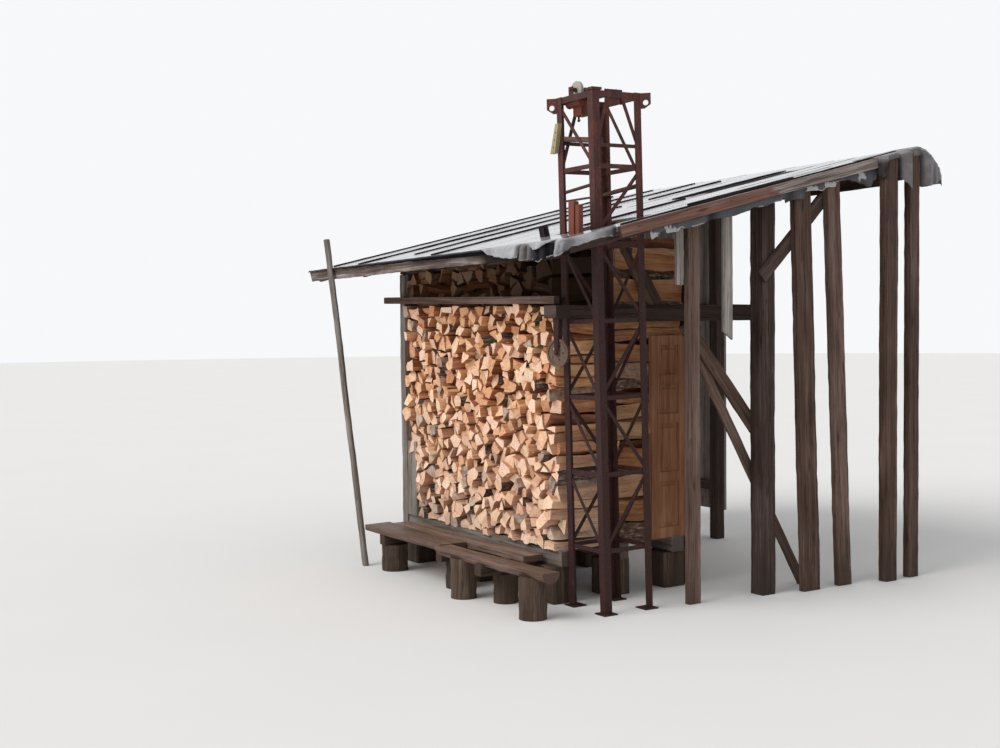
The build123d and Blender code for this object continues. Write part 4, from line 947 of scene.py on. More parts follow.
@dataclass
class FirewoodRow:
    """A row of billets, stacked with their sawn ends to the front and the back.

    A post may narrow the row from low_left up to low_top, and the wood is greyer below
    grey_below. The outer billets at the right end show their sides, so they are rougher. A
    cross log has its middle across and up, its length and its thickness.
    """

    name: str
    node: str
    seed: int
    bottom: float
    top: float
    front: float
    back: float
    left: float = STACK_LEFT
    right: float = 0.0
    wide: float = 0.092
    tall: float = 0.066
    reach: float = 0.024
    yaw: float = 2.8
    missing: float = 0.04
    low_left: float | None = None
    low_top: float = 0.0
    grey_below: float = 0.0
    under_roof: float = 0.172
    steps: int = 4
    rough: float = 0.007
    uneven: float = 0.0
    look: Look = Look.FIREWOOD
    crosswise: tuple[tuple[float, float, float, float], ...] = ()
    pushed_share: float = 0.12
    pushed_times: float = 1.6
    end_zone: float = 0.1
    core_depth: float = 0.09
    core_side: float = 0.08

    def left_at(self, z: float) -> float:
        """Give the row's left end at a height."""
        if self.low_left is not None and z < self.low_top:
            return self.low_left
        return self.left

    def ceiling(self) -> float:
        """Give the height under the roof that the row stops at, over x = 0."""
        return ROOF.at(0.0, self.front).z - self.under_roof

    def seeds(self, rng: random.Random) -> list[tuple[float, float, float]]:
        """Scatter the middles of the billets in uneven courses.

        Args:
            rng: the source of chance.

        Returns:
            For each billet its place across and up, and its weight.
        """
        courses = round((self.top - self.bottom) / self.tall)
        rise = (self.top - self.bottom) / courses
        spots = []
        for row in range(courses):
            z = self.bottom + (row + 0.5) * rise
            left = self.left_at(z)
            count = round((self.right - left) / self.wide)
            step = (self.right - left) / count
            shift = rng.uniform(-0.4, 0.4) * step
            for i in range(count):
                if rng.random() < self.missing:
                    continue
                x = left + (i + 0.5) * step + shift + rng.uniform(-0.36, 0.36) * step
                weight = rng.uniform(-1, 1) * 0.0011
                spots.append((x, z + rng.uniform(-0.38, 0.38) * rise, weight))
        return spots

    def cell(self, spots: list[tuple[float, float, float]], i: int) -> Outline:
        """Give the room that one billet has among its neighbours.

        Args:
            spots: all the middles and weights.
            i: which billet.

        Returns:
            The corners of its cell.
        """
        x, z, weight = spots[i]
        x0 = max(self.left_at(z), x - 2 * self.wide)
        x1 = min(self.right, x + 2 * self.wide)
        z0 = max(self.bottom, z - 2 * self.tall)
        z1 = min(self.top, z + 2 * self.tall)
        outline = [(x0, z0), (x1, z0), (x1, z1), (x0, z1)]
        outline = clip(outline, -ROOF.side_rise, 1.0, self.ceiling())
        for j, (ox, oz, other) in enumerate(spots):
            if len(outline) < 3:
                break
            if j == i or abs(ox - x) > 3 * self.wide or abs(oz - z) > 3.2 * self.tall:
                continue
            limit = (ox * ox + oz * oz - x * x - z * z + weight - other) / 2
            outline = clip(outline, ox - x, oz - z, limit)
        return outline

    def trimmed(self, outline: Outline, rng: random.Random) -> Outline:
        """Drop the flattest corners, so that wedges and gaps come about.

        Args:
            outline: the cell's corners.
            rng: the source of chance.

        Returns:
            Three to five corners.
        """
        kept = list(outline)
        wanted = rng.choice((3, 3, 4, 4, 4, 5, 5))
        while len(kept) > wanted:
            areas = [corner_area(kept, i) for i in range(len(kept))]
            kept.pop(areas.index(min(areas)))
        return kept

    def build(self) -> bpy.types.Object:
        """Build the row.

        Returns:
            The finished object.
        """
        rng = random.Random(self.seed)
        writer = MeshWriter(self.name)
        spots = self.seeds(rng)
        self.fill_core(writer)
        for log_across in self.crosswise:
            self.lay_across(writer, rng, *log_across)
        for i, (x, z, _) in enumerate(spots):
            cell = self.cell(spots, i)
            if len(cell) >= 3 and not self.behind_a_cross_log(x, z):
                self.lay(writer, rng, self.trimmed(cell, rng))
        return show(writer.make(), self.look, (self.node,))

    def lay(self, writer: MeshWriter, rng: random.Random, outline: Outline) -> None:
        """Lay one billet in its place.

        Args:
            writer: the mesh.
            rng: the source of chance.
            outline: the room that it fills.
        """
        mx, mz = middle_of(outline)
        shrink = rng.uniform(0.82, 0.97)
        local = [((x - mx) * shrink, (z - mz) * shrink) for x, z in outline]
        out = rng.gauss(0, self.reach)
        if rng.random() < self.pushed_share:
            out += rng.choice((-1, 1)) * self.pushed_times * self.reach
        out = held(out, -0.045, 0.06)
        length = self.back - self.front - rng.uniform(0.0, 0.04)
        middle = Vector((mx, self.front + out + length / 2, mz))
        if mx > self.right - self.end_zone:
            middle.x += rng.uniform(-0.004, 0.022) - self.uneven * rng.random()
        turn = (Matrix.Rotation(math.radians(rng.gauss(0, self.yaw)), 4, "Z")
                @ Matrix.Rotation(math.radians(rng.gauss(0, self.yaw * 0.6)), 4, "X")
                @ Matrix.Rotation(math.radians(rng.uniform(-5, 5)), 4, "Y"))
        grey = mz < self.grey_below
        billet = Billet(local, length, rng, seed=rng.uniform(0, 90), steps=self.steps,
                        bark_chance=0.45 if grey else 0.28, grey_chance=0.22 if grey else 0.05)
        if not self.left + self.wide <= mx <= self.right - self.wide:
            billet.steps *= 3
            billet.rough = self.rough
        billet.write(writer, Matrix.Translation(middle) @ turn)

    def fill_core(self, writer: MeshWriter) -> None:
        """Put a dark mass well inside the row, so that no light comes through its gaps; its
        darkest tone is painted shade.

        Args:
            writer: the mesh.
        """
        x1 = self.right - 0.12
        y0, y1 = self.front + self.core_depth, self.back - self.core_depth
        levels = [(self.bottom + 0.02, (self.low_left or self.left) + self.core_side)]
        if self.low_left is not None:
            levels.append((self.low_top, self.low_left + self.core_side))
            levels.append((self.low_top + 0.01, self.left + self.core_side))
        levels.append((self.top - 0.05, self.left + self.core_side))
        ceiling = self.ceiling() - 0.05
        rings = []
        for z, x0 in levels:
            corners = ((x0, y0), (x1, y0), (x1, y1), (x0, y1))
            rings.append([writer.point(Vector((x, y, min(z, ceiling + ROOF.side_rise * x))),
                                       Vector((x, z, y))) for x, y in corners])
        for low, high in zip(rings, rings[1:]):
            for k in range(4):
                j = (k + 1) % 4
                writer.face((low[k], low[j], high[j], high[k]), CORE_SHADE_TONE)
        writer.face(tuple(rings[-1]), CORE_SHADE_TONE)
        writer.face(tuple(reversed(rings[0])), CORE_SHADE_TONE)

    def behind_a_cross_log(self, x: float, z: float) -> bool:
        """Tell whether a place is taken by a log that lies along the row.

        Args:
            x: the place across.
            z: the place up.

        Returns:
            True where such a log lies.
        """
        return any(abs(x - cx) < run / 2 and abs(z - cz) < 0.4 * size
                   for cx, cz, run, size in self.crosswise)

    def lay_across(self, writer: MeshWriter, rng: random.Random, x: float, z: float, run: float,
                   size: float) -> None:
        """Lay one log along the row, against its front.

        Args:
            writer: the mesh.
            rng: the source of chance.
            x: its middle across.
            z: its middle up.
            run: its length.
            size: its thickness.
        """
        count = rng.choice((4, 5, 5))
        start = rng.uniform(0, math.tau)
        turns = [start + math.tau * k / count for k in range(count)]
        outline = [(0.5 * size * rng.uniform(0.75, 1.05) * math.cos(turn),
                    0.5 * size * rng.uniform(0.75, 1.05) * math.sin(turn)) for turn in turns]
        turn = (Matrix.Rotation(math.radians(90 + rng.uniform(-9, 9)), 4, "Z")
                @ Matrix.Rotation(math.radians(rng.uniform(-7, 7)), 4, "X"))
        place = Matrix.Translation((x, self.front + size / 2 + 0.01, z)) @ turn
        Billet(outline, run, rng, seed=rng.uniform(0, 90), steps=12, rough=0.007,
               bark_chance=0.3, grey_chance=0.05).write(writer, place)


ROWS = [
    FirewoodRow("firewood_front", "log_stack_front", seed=5, bottom=0.370, top=2.050,
                front=0.0, back=0.498, low_left=-1.943, low_top=0.975, grey_below=0.85),
    FirewoodRow("firewood_rear", "log_stack_rear", seed=6, bottom=0.370, top=2.640,
                front=0.505, back=1.145, wide=0.15, tall=0.088, reach=0.012, yaw=1.0,
                under_roof=0.115, rough=0.012, uneven=0.035, look=Look.SIDE_FIREWOOD),
    FirewoodRow("firewood_loose", "loose_logs", seed=7, bottom=2.030, top=2.420,
                front=0.02, back=0.45, right=-0.06, wide=0.125, tall=0.080, reach=0.03,
                yaw=12.0, missing=0.06, under_roof=0.128, look=Look.SHADED_FIREWOOD,
                crosswise=((-1.82, 2.080, 0.46, 0.090), (-1.33, 2.100, 0.48, 0.100),
                           (-0.88, 2.075, 0.36, 0.085), (-0.52, 2.07, 0.34, 0.080),
                           (-1.58, 2.180, 0.40, 0.095), (-1.08, 2.200, 0.34, 0.085),
                           (-1.86, 2.260, 0.30, 0.080), (-0.30, 2.17, 0.30, 0.090))),
]


# Timbers

SHARP_ANGLE = 0.5
END_FACING = 0.8
FOOT_HEIGHT = 0.03


def islands(bm: bmesh.types.BMesh) -> list[list[bmesh.types.BMVert]]:
    """Split a mesh into its separate solids.

    Args:
        bm: the mesh.

    Returns:
        The vertices of each solid.
    """
    seen: set[int] = set()
    found = []
    for start in bm.verts:
        if start.index in seen:
            continue
        group, queue = [], [start]
        seen.add(start.index)
        while queue:
            v = queue.pop()
            group.append(v)
            for edge in v.link_edges:
                other = edge.other_vert(v)
                if other.index not in seen:
                    seen.add(other.index)
                    queue.append(other)
        found.append(group)
    return found


@dataclass
class OldTimber:
    """Timbers of one node, with worn edges, sawn ends and a slight wander.

    Each solid is rounded by its edge, sliced at every so many metres, and moved by a slow
    wander and a finer chip. Their feet stay on the ground.
    """

    node: str
    look: Look
    slot: str
    edge: float = 0.004
    wander: float = 0.002
    chip: float = 0.0025
    every: float = 0.07
    tone: float = 0.5

    def build(self) -> bpy.types.Object:
        """Build the worn timbers.

        Returns:
            The finished object, which stands for the node.
        """
        source = bmesh.new()
        source.from_mesh(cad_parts[self.node].data)
        bmesh.ops.remove_doubles(source, verts=source.verts, dist=1e-5)
        bmesh.ops.dissolve_limit(source, angle_limit=0.02, verts=source.verts,
                                 edges=source.edges)
        source.verts.index_update()
        groups = [{v.index for v in group} for group in islands(source)]
        rng = random.Random(self.node)
        whole = bmesh.new()
        whole.verts.layers.float_vector.new("grain")
        whole.faces.layers.float.new("tone")
        whole.faces.layers.float.new("end")
        for group in groups:
            solid = self.part(source, group)
            lengthwise = self.round_and_slice(solid)
            self.wear(solid, whole, lengthwise, rng)
            solid.free()
        source.free()
        mesh = bpy.data.meshes.new("aged_" + self.node)
        whole.to_mesh(mesh)
        whole.free()
        piece = new_object("aged_" + self.node, mesh)
        return show(piece, self.look, (self.node,))

    def part(self, source: bmesh.types.BMesh, keep: set[int]) -> bmesh.types.BMesh:
        """Copy one solid out of the node's mesh.

        Args:
            source: the whole mesh.
            keep: the numbers of its vertices.

        Returns:
            A mesh that holds only that solid.
        """
        solid = source.copy()
        solid.verts.ensure_lookup_table()
        extra = [v for v in solid.verts if v.index not in keep]
        bmesh.ops.delete(solid, geom=extra, context="VERTS")
        return solid

    def round_and_slice(self, solid: bmesh.types.BMesh) -> Vector:
        """Round a solid's edges and slice it crosswise, so that it can wander.

        Args:
            solid: the one solid.

        Returns:
            The direction of its grain.
        """
        longest = max(solid.edges, key=lambda e: e.calc_length())
        lengthwise = (longest.verts[1].co - longest.verts[0].co).normalized()
        sharp = [e for e in solid.edges if len(e.link_faces) == 2
                 and e.calc_face_angle(0.0) > SHARP_ANGLE]
        if self.edge > 0:
            bmesh.ops.bevel(solid, geom=sharp, offset=self.edge, segments=2, profile=0.6,
                            affect="EDGES", clamp_overlap=True)
        reach = [v.co.dot(lengthwise) for v in solid.verts]
        low, high = min(reach), max(reach)
        cuts = int((high - low) / self.every)
        for where in spread(low, high, cuts + 1)[1:-1]:
            geom = list(solid.verts) + list(solid.edges) + list(solid.faces)
            bmesh.ops.bisect_plane(solid, geom=geom, plane_co=lengthwise * where,
                                   plane_no=lengthwise)
        return lengthwise

    def wear(self, solid: bmesh.types.BMesh, whole: bmesh.types.BMesh, lengthwise: Vector,
             rng: random.Random) -> None:
        """Roughen one solid, and add it to the whole with what the finish reads.

        Args:
            solid: the one solid.
            whole: the mesh that it is added to.
            lengthwise: the direction of its grain.
            rng: the source of chance.
        """
        grain_layer = whole.verts.layers.float_vector["grain"]
        tone_layer = whole.faces.layers.float["tone"]
        end_layer = whole.faces.layers.float["end"]
        side = lengthwise.orthogonal().normalized()
        up = lengthwise.cross(side)
        seed = rng.uniform(0, 60)
        centre = sum((v.co for v in solid.verts), Vector()) / len(solid.verts)
        pith = side * rng.uniform(-0.05, 0.05) + up * rng.uniform(-0.05, 0.05)
        shift = rng.uniform(0, 300)
        tone = held(self.tone + rng.uniform(-0.3, 0.3))
        made = {}
        for v in solid.verts:
            t = v.co.dot(lengthwise)
            sway = wobble(lengthwise * t, 1.3, seed) * self.wander
            sway -= lengthwise * sway.dot(lengthwise)
            fine = wobble(v.co, 17.0, seed) * self.chip
            fine -= lengthwise * fine.dot(lengthwise) * 0.7
            free = held((v.co.z + 0.001) / FOOT_HEIGHT)
            copy = whole.verts.new(v.co + (sway + fine) * free)
            off = v.co - centre - pith
            copy[grain_layer] = Vector((off.dot(side), off.dot(up), t + shift))
            made[v.index] = copy
        solid.faces.index_update()
        for face in solid.faces:
            face.normal_update()
            corners = [made[v.index] for v in face.verts]
            try:
                copy = whole.faces.new(corners)
            except ValueError:
                continue
            copy[tone_layer] = tone
            copy[end_layer] = float(abs(face.normal.dot(lengthwise)) > END_FACING)


TIMBERS = [
    OldTimber("base_piers", Look.SAWN_BASE, "base_timber", edge=0.010, wander=0.003, chip=0.006),
    OldTimber("sill_beams", Look.GREY_TIMBER, "grey_timber",
              edge=0.006, wander=0.004, chip=0.003, tone=0.2),
    OldTimber("corner_post", Look.GREY_TIMBER, "dark_timber",
              edge=0.004, wander=0.004, chip=0.003, tone=0.7),
    OldTimber("rear_posts", Look.DARK_POST, "dark_timber"),
    OldTimber("wall_plates", Look.DARK_POST, "dark_timber"),
    OldTimber("front_rail", Look.BROWN_POST, "grey_timber", edge=0.003, wander=0.004, chip=0.002),
    OldTimber("end_beam", Look.DARK_POST, "dark_timber", edge=0.003, wander=0.003),
    OldTimber("end_brace", Look.BROWN_POST, "grey_timber", edge=0.003, wander=0.003),
    OldTimber("panel_door", Look.DOOR, "door_timber", edge=0.0012, wander=0.0, chip=0.0004),
    OldTimber("bench_planks", Look.BENCH, "bench_timber", edge=0.003, wander=0.005, chip=0.003),
    OldTimber("bench_half_log", Look.BENCH, "bench_timber", edge=0.0, wander=0.008, chip=0.006),
    OldTimber("bench_bearers", Look.SAWN_BASE, "bench_timber", edge=0.005),
    OldTimber("bench_stumps", Look.SAWN_BASE, "base_timber",
              edge=0.0, wander=0.004, chip=0.008, every=0.05),
    OldTimber("rafters", Look.DARK_POST, "dark_timber"),
    OldTimber("roof_deck", Look.GREY_TIMBER, "grey_timber",
              edge=0.0, wander=0.0, chip=0.0, every=0.3),
    OldTimber("roof_battens", Look.BATTEN, "dark_timber",
              edge=0.003, wander=0.004, chip=0.002, every=0.1),
    OldTimber("eave_fascia", Look.EAVE, "grey_timber",
              edge=0.002, wander=0.004, chip=0.004, every=0.05),
    OldTimber("left_verge_board", Look.GREY_TIMBER, "dark_timber", edge=0.002, wander=0.004),
    OldTimber("verge_fascia", Look.FASCIA, "fascia_timber", edge=0.002, wander=0.003, chip=0.0015),
    OldTimber("near_post", Look.BROWN_POST, "dark_timber",
              edge=0.004, wander=0.003, chip=0.003, tone=0.6),
    OldTimber("big_post", Look.DARK_POST, "dark_timber", edge=0.006, wander=0.004, chip=0.004),
    OldTimber("leaning_posts", Look.BROWN_POST, "dark_timber",
              edge=0.005, wander=0.004, chip=0.004),
    OldTimber("outer_posts", Look.BROWN_POST, "dark_timber", edge=0.004, wander=0.003, chip=0.003),
    OldTimber("high_beams", Look.DARK_POST, "dark_timber"),
    OldTimber("back_posts", Look.DARK_POST, "dark_timber"),
    OldTimber("back_rails", Look.DARK_POST, "dark_timber"),
    OldTimber("knee_brace", Look.DARK_POST, "dark_timber", edge=0.003),
    OldTimber("raking_brace", Look.BROWN_POST, "dark_timber", edge=0.003),
    OldTimber("leaning_board", Look.BROWN_POST, "dark_timber", edge=0.003),
    OldTimber("hanging_boards", Look.PALE_BOARD, "grey_timber",
              edge=0.002, wander=0.002, chip=0.002, tone=0.3),
    OldTimber("prop_pole", Look.GREY_TIMBER, "grey_timber", edge=0.0, wander=0.007, chip=0.003),
    OldTimber("mast_shelf", Look.BROWN_POST, "grey_timber", edge=0.003, wander=0.002),
    OldTimber("pulley_block", Look.DARK_POST, "dark_timber", edge=0.004, wander=0.002),
    OldTimber("back_boards", Look.GREY_TIMBER, "grey_timber",
              edge=0.0, wander=0.0, chip=0.0, every=0.4),
]


# Steel that keeps its CAD shape

LEGS = ("front_left", "front_right", "back_right", "back_left")
FACES = ("front", "right", "back", "left")
STEEL = {f"mast_leg_{corner}": Look.MAST for corner in LEGS}
STEEL |= {f"mast_{side}_bracing": Look.MAST for side in FACES}
STEEL |= {"head_frame": Look.MAST, "head_sheave": Look.PALE_WHEEL, "hoist_box": Look.RED_CASE,
          "cable_box": Look.PALE_CASE, "roof_case": Look.RED_CASE, "pulley_fork": Look.MAST,
          "guide_pulley": Look.WHEEL}


# Roofing felt

LOOSE_SHEET = 0.003


def sheet_object(name: str, grid: list[list[Vector | None]], marks: list[list[Mark]],
                 thickness: float) -> bpy.types.Object:
    """Make a sheet from a grid of points.

    Args:
        name: the object's name.
        grid: rows of points; None leaves a hole.
        marks: for each point, how far torn fibres show, and how dark it is from stains or painted
            shade.
        thickness: the sheet's thickness.

    Returns:
        The object, linked to the scene.
    """
    numbers: dict[tuple[int, int], int] = {}
    points, kept, faces = [], [], []
    for r, row in enumerate(grid):
        for c, point in enumerate(row):
            if point is not None:
                numbers[r, c] = len(points)
                points.append(tuple(point))
                kept.append(marks[r][c])
    for r in range(len(grid) - 1):
        for c in range(len(grid[0]) - 1):
            corners = [numbers.get(key) for key in ((r, c), (r, c + 1), (r + 1, c + 1),
                                                    (r + 1, c))]
            if None not in corners:
                faces.append(corners)
    mesh = bpy.data.meshes.new(name)
    mesh.from_pydata(points, [], faces)
    mesh.update()
    for column, attribute in enumerate(("torn", "stain_and_shade")):
        layer = mesh.attributes.new(attribute, "FLOAT", "POINT")
        values = np.array([mark[column] for mark in kept], np.float32)
        layer.data.foreach_set("value", values)
    for polygon in mesh.polygons:
        polygon.use_smooth = True
    piece = new_object(name, mesh)
    solid = piece.modifiers.new("thickness", "SOLIDIFY")
    solid.thickness = thickness
    solid.offset = -1.0
    return piece


def hang(name: str, columns: list[Column], look: Look, node: str) -> bpy.types.Object:
    """Make a loose sheet from columns of points that run out and down from the roof.

    Args:
        name: the object's name.
        columns: for each place along the edge, its points with their marks.
        look: its finish.
        node: the CAD node that it replaces.

    Returns:
        The finished object.
    """
    rows = list(zip(*columns))
    grid = [[point for point, _ in row] for row in rows]
    marks = [[mark for _, mark in row] for row in rows]
    piece = sheet_object(name, grid, marks, LOOSE_SHEET)
    return show(piece, look, (node,))


@dataclass
class RoofFelt:
    """The felt on the roof: strips that lap, swell slightly and wrinkle."""

    left: float = -3.062
    right: float = 0.700
    low: float = -0.402
    high: float = 2.830
    step: float = 0.020
    thickness: float = 0.005
    bands: tuple[tuple[float, float, float, float], ...] = (
        (-2.20, -0.40, 1.30, 0.012), (-1.64, 0.60, 2.70, 0.014), (-1.40, 1.10, 2.30, 0.016),
        (-0.86, 1.30, 2.50, 0.022), (-0.31, 1.37, 2.42, 0.20), (-0.12, 0.70, 2.60, 0.016),
        (0.16, 1.50, 2.75, 0.026), (0.32, 0.60, 2.80, 0.014), (0.44, 1.30, 2.20, 0.030),
        (0.56, 0.10, 2.80, 0.014), (0.675, 0.00, 2.83, 0.016))
    laps: tuple[float, ...] = (-2.29, -1.70, -1.13, -0.56, -0.13, 0.49)
    lap_width: float = 0.11
    lap_height: float = 0.003
    hole: tuple[float, float, float, float] = (0.031, 0.479, -0.013, 0.435)

    def lift(self, x: float, y: float) -> float:
        """Give the sheet's height over the flat roof.

        Args:
            x: across.
            y: up the slope.

        Returns:
            The height.
        """
        ridges = noise.noise(Vector((x * 7.0, y * 0.9, 2.0)))
        swell = noise.noise(Vector((x * 1.7, y * 1.3, 9.0)))
        height = 0.0018 + 0.0010 * ridges + 0.0012 * swell
        height += self.lap_height * sum(-self.lap_width < x - lap < 0.0 for lap in self.laps)
        return max(0.0006, height)

    def band(self, point: Vector | None) -> float:
        """Tell how dark a place is, from old seams and worn strips.

        Args:
            point: the place, or None in the hole.

        Returns:
            0 to 1.
        """
        dark = 0.0
        if point is None:
            return dark
        for x, y0, y1, half in self.bands:
            worn = noise.noise(Vector((x * 9.0, point.y * 2.4, 4.0)))
            fine = noise.noise(Vector((point.x * 16.0, point.y * 5.0, 4.0)))
            edge = half * (1 + 0.5 * worn) - abs(point.x - x)
            inside = min(edge, point.y - y0, y1 - point.y, 0.02 * (worn + 0.75)) + 0.012 * fine
            dark = max(dark, min(0.95, 0.5 + inside / 0.022))
        return dark

    def build(self) -> bpy.types.Object:
        """Build the felt.

        Returns:
            The finished object.
        """
        across = round((self.right - self.left) / self.step)
        up = round((self.high - self.low) / (1.6 * self.step))
        x0, x1, y0, y1 = self.hole
        grid: list[list[Vector | None]] = []
        for y in spread(self.low, self.high, up):
            row: list[Vector | None] = []
            for x in spread(self.left, self.right, across):
                inside = x0 < x < x1 and y0 < y < y1
                row.append(None if inside else ROOF.at(x, y, self.lift(x, y)))
            grid.append(row)
        marks = [[(0.0, self.band(point)) for point in row] for row in grid]
        piece = sheet_object("felt_sheet", grid, marks, self.thickness)
        return show(piece, Look.FELT, ("roof_felt",))


def jag(s: float, seed: float) -> float:
    """Give a torn edge's raggedness at a place along it.

    Args:
        s: metres along the edge.
        seed: which edge it is.

    Returns:
        About -1 to 1.
    """
    slow = noise.noise(Vector((s * 6.0, seed, 0.0)))
    quick = noise.noise(Vector((s * 31.0, seed, 4.0)))
    sharp = noise.noise(Vector((s * 90.0, seed, 8.0)))
    return 0.9 * slow + 0.5 * quick + 0.25 * sharp


def along(stations: tuple[tuple[float, ...], ...], s: float) -> tuple[float, ...]:
    """Read a row of stations at a place, smoothly between them.

    Args:
        stations: places in order, each with its values.
        s: the place.

    Returns:
        The values there.
    """
    for low, high in zip(stations, stations[1:]):
        if s <= high[0]:
            t = held((s - low[0]) / (high[0] - low[0]))
            t = t * t * (3 - 2 * t)
            return tuple(p + (q - p) * t for p, q in zip(low[1:], high[1:]))
    return stations[-1][1:]


@dataclass
class FrontFlap:
    """Loose felt that falls over the eave and the verge at the front right corner.

    Each station gives metres along the edge, how far the felt falls, how far it stands out and
    how dark it is painted with shade in its folds. The felt turns down within roll, where it
    stands out by round_out at most, and the rest comes within flare. A deep enough fall may end in
    a torn fringe.
    """

    name: str
    look: Look
    stations: tuple[tuple[float, float, float, float], ...]
    lay: float = 0.10
    lift: float = 0.009
    ragged: float = 0.006
    seed: float = 3.0
    node: str = "felt_flap_front"
    left: float = -0.310
    corner: float = 0.715
    edge_y: float = -0.402
    bend: float = 0.05
    roll: float = 0.03
    round_out: float = 0.020
    flare: float = 0.08
    frays_from: float = 0.042
    fringe: float = 0.006
    columns: int = 260
    rows: int = 18

    def spot(self, s: float) -> tuple[Vector, Vector]:
        """Give a point of the roof's edge and the way out of it.

        Args:
            s: metres along the edge, from the left.

        Returns:
            The point in plan and the outward direction.
        """
        front = self.corner - self.bend - self.left
        arc = self.bend * math.pi / 2
        if s < front:
            return Vector((self.left + s, self.edge_y, 0)), Vector((0, -1, 0))
        if s < front + arc:
            a = (s - front) / self.bend
            way = Vector((math.sin(a), -math.cos(a), 0))
            middle = Vector((self.corner - self.bend, self.edge_y + self.bend, 0))
            return middle + way * self.bend, way
        y = self.edge_y + self.bend + s - front - arc
        return Vector((self.corner, y, 0)), Vector((1, 0, 0))

    def column(self, s: float) -> Column:
        """Run the felt over the roof's edge and down, at one place.

        Args:
            s: metres along the edge.

        Returns:
            The points and their marks, from the roof down.
        """
        spot, way = self.spot(s)
        fall, out, stain_and_shade = along(self.stations, s)
        fall = max(0.004, fall + self.ragged * jag(s, self.seed))
        lay = self.lay * (1 + 0.35 * noise.noise(Vector((s * 5.0, self.seed, 6.0))))
        swell = noise.noise(Vector((s * 9.0, self.seed, 0.0)))
        frayed = (fall > self.frays_from
                  and noise.noise(Vector((s * 16.0, self.seed, 2.0))) > -0.05)
        rise = self.lift * (1 + 0.5 * swell)
        edge = ROOF.at(spot.x, spot.y, LOOSE_SHEET + rise)
        column: Column = []
        for d in spread(-lay, fall, self.rows):
            if d < 0:
                point = ROOF.at(spot.x + way.x * d, spot.y + way.y * d,
                                LOOSE_SHEET + rise * (1 + d / lay))
            else:
                turn = min(1.0, d / self.roll)
                over = min(out, self.round_out) * math.sin(turn * math.pi / 2)
                over += max(0.0, out - self.round_out) * min(1.0, d / self.flare)
                over += 0.008 * swell * turn
                point = edge + way * over - Vector((0, 0, d * (0.55 + 0.45 * turn)))
            torn = float(frayed and fall - d < self.fringe)
            # The second mark is painted shade in the folds, fading in over the turn.
            column.append((point, (torn, stain_and_shade * held((d + 0.01) / self.roll))))
        return column

    def build(self) -> bpy.types.Object:
        """Build the flap."""
        places = spread(self.stations[0][0], self.stations[-1][0], self.columns)
        return hang(self.name, [self.column(s) for s in places], self.look, self.node)


FRONT_FLAPS = [
    FrontFlap("felt_corner_sheet", Look.PALE_FELT, (
        (0.03, 0.006, 0.020, 0.2), (0.06, 0.016, 0.020, 0.0), (0.16, 0.048, 0.030, 0.0),
        (0.28, 0.072, 0.040, 0.0), (0.40, 0.086, 0.046, 0.0), (0.47, 0.094, 0.046, 0.1),
        (0.500, 0.088, 0.024, 0.7), (0.516, 0.050, 0.012, 0.9), (0.534, 0.022, 0.010, 0.8),
        (0.600, 0.018, 0.012, 0.7), (0.650, 0.030, 0.026, 0.1), (0.700, 0.048, 0.040, 0.0),
        (0.750, 0.042, 0.038, 0.0), (0.790, 0.026, 0.034, 0.1), (0.850, 0.018, 0.026, 0.2),
        (0.896, 0.008, 0.012, 0.8), (0.908, 0.056, 0.008, 0.9), (0.928, 0.104, 0.026, 0.55),
        (0.950, 0.114, 0.046, 0.0), (0.985, 0.104, 0.046, 0.25), (1.010, 0.080, 0.038, 0.6),
        (1.035, 0.054, 0.026, 0.5), (1.058, 0.058, 0.022, 0.1), (1.112, 0.054, 0.030, 0.0),
        (1.173, 0.047, 0.036, 0.0), (1.252, 0.047, 0.036, 0.25), (1.315, 0.052, 0.028, 0.6),
        (1.352, 0.064, 0.014, 0.9), (1.376, 0.068, 0.003, 0.9))),
    FrontFlap("felt_fold_sheet", Look.LOOSE_FELT, (
        (0.485, 0.080, 0.004, 0.8), (0.515, 0.100, 0.014, 0.7), (0.550, 0.104, 0.036, 0.1),
        (0.590, 0.102, 0.012, 0.7), (0.630, 0.106, 0.034, 0.2), (0.664, 0.108, 0.010, 0.8)),
        lay=0.03, lift=0.004, seed=17.0, columns=60),
    # The dark sheet under the fold is painted shade on its underside.
    FrontFlap("felt_under_sheet", Look.VERGE_FELT, (
        (0.655, 0.104, 0.014, 0.5), (0.705, 0.120, 0.004, 0.8), (0.770, 0.106, 0.016, 0.7),
        (0.820, 0.100, 0.006, 0.9), (0.880, 0.092, 0.014, 0.8), (0.915, 0.060, 0.004, 0.9)),
        lay=0.03, lift=0.003, ragged=0.014, seed=29.0, columns=90),
    # A dark felt edge along the whole eave: real felt, darkened as painted shade for the shadow
    # under the eave.
    FrontFlap("felt_eave_edge", Look.VERGE_FELT, (
        (0.00, 0.016, 0.009, 0.9), (0.90, 0.020, 0.010, 0.9), (1.80, 0.026, 0.010, 0.9),
        (2.40, 0.034, 0.010, 0.9), (2.80, 0.038, 0.010, 0.9), (2.90, 0.012, 0.008, 0.9)),
        lay=0.022, lift=0.0045, ragged=0.006, seed=41.0, columns=420, node="roof_felt",
        left=-3.062),
]


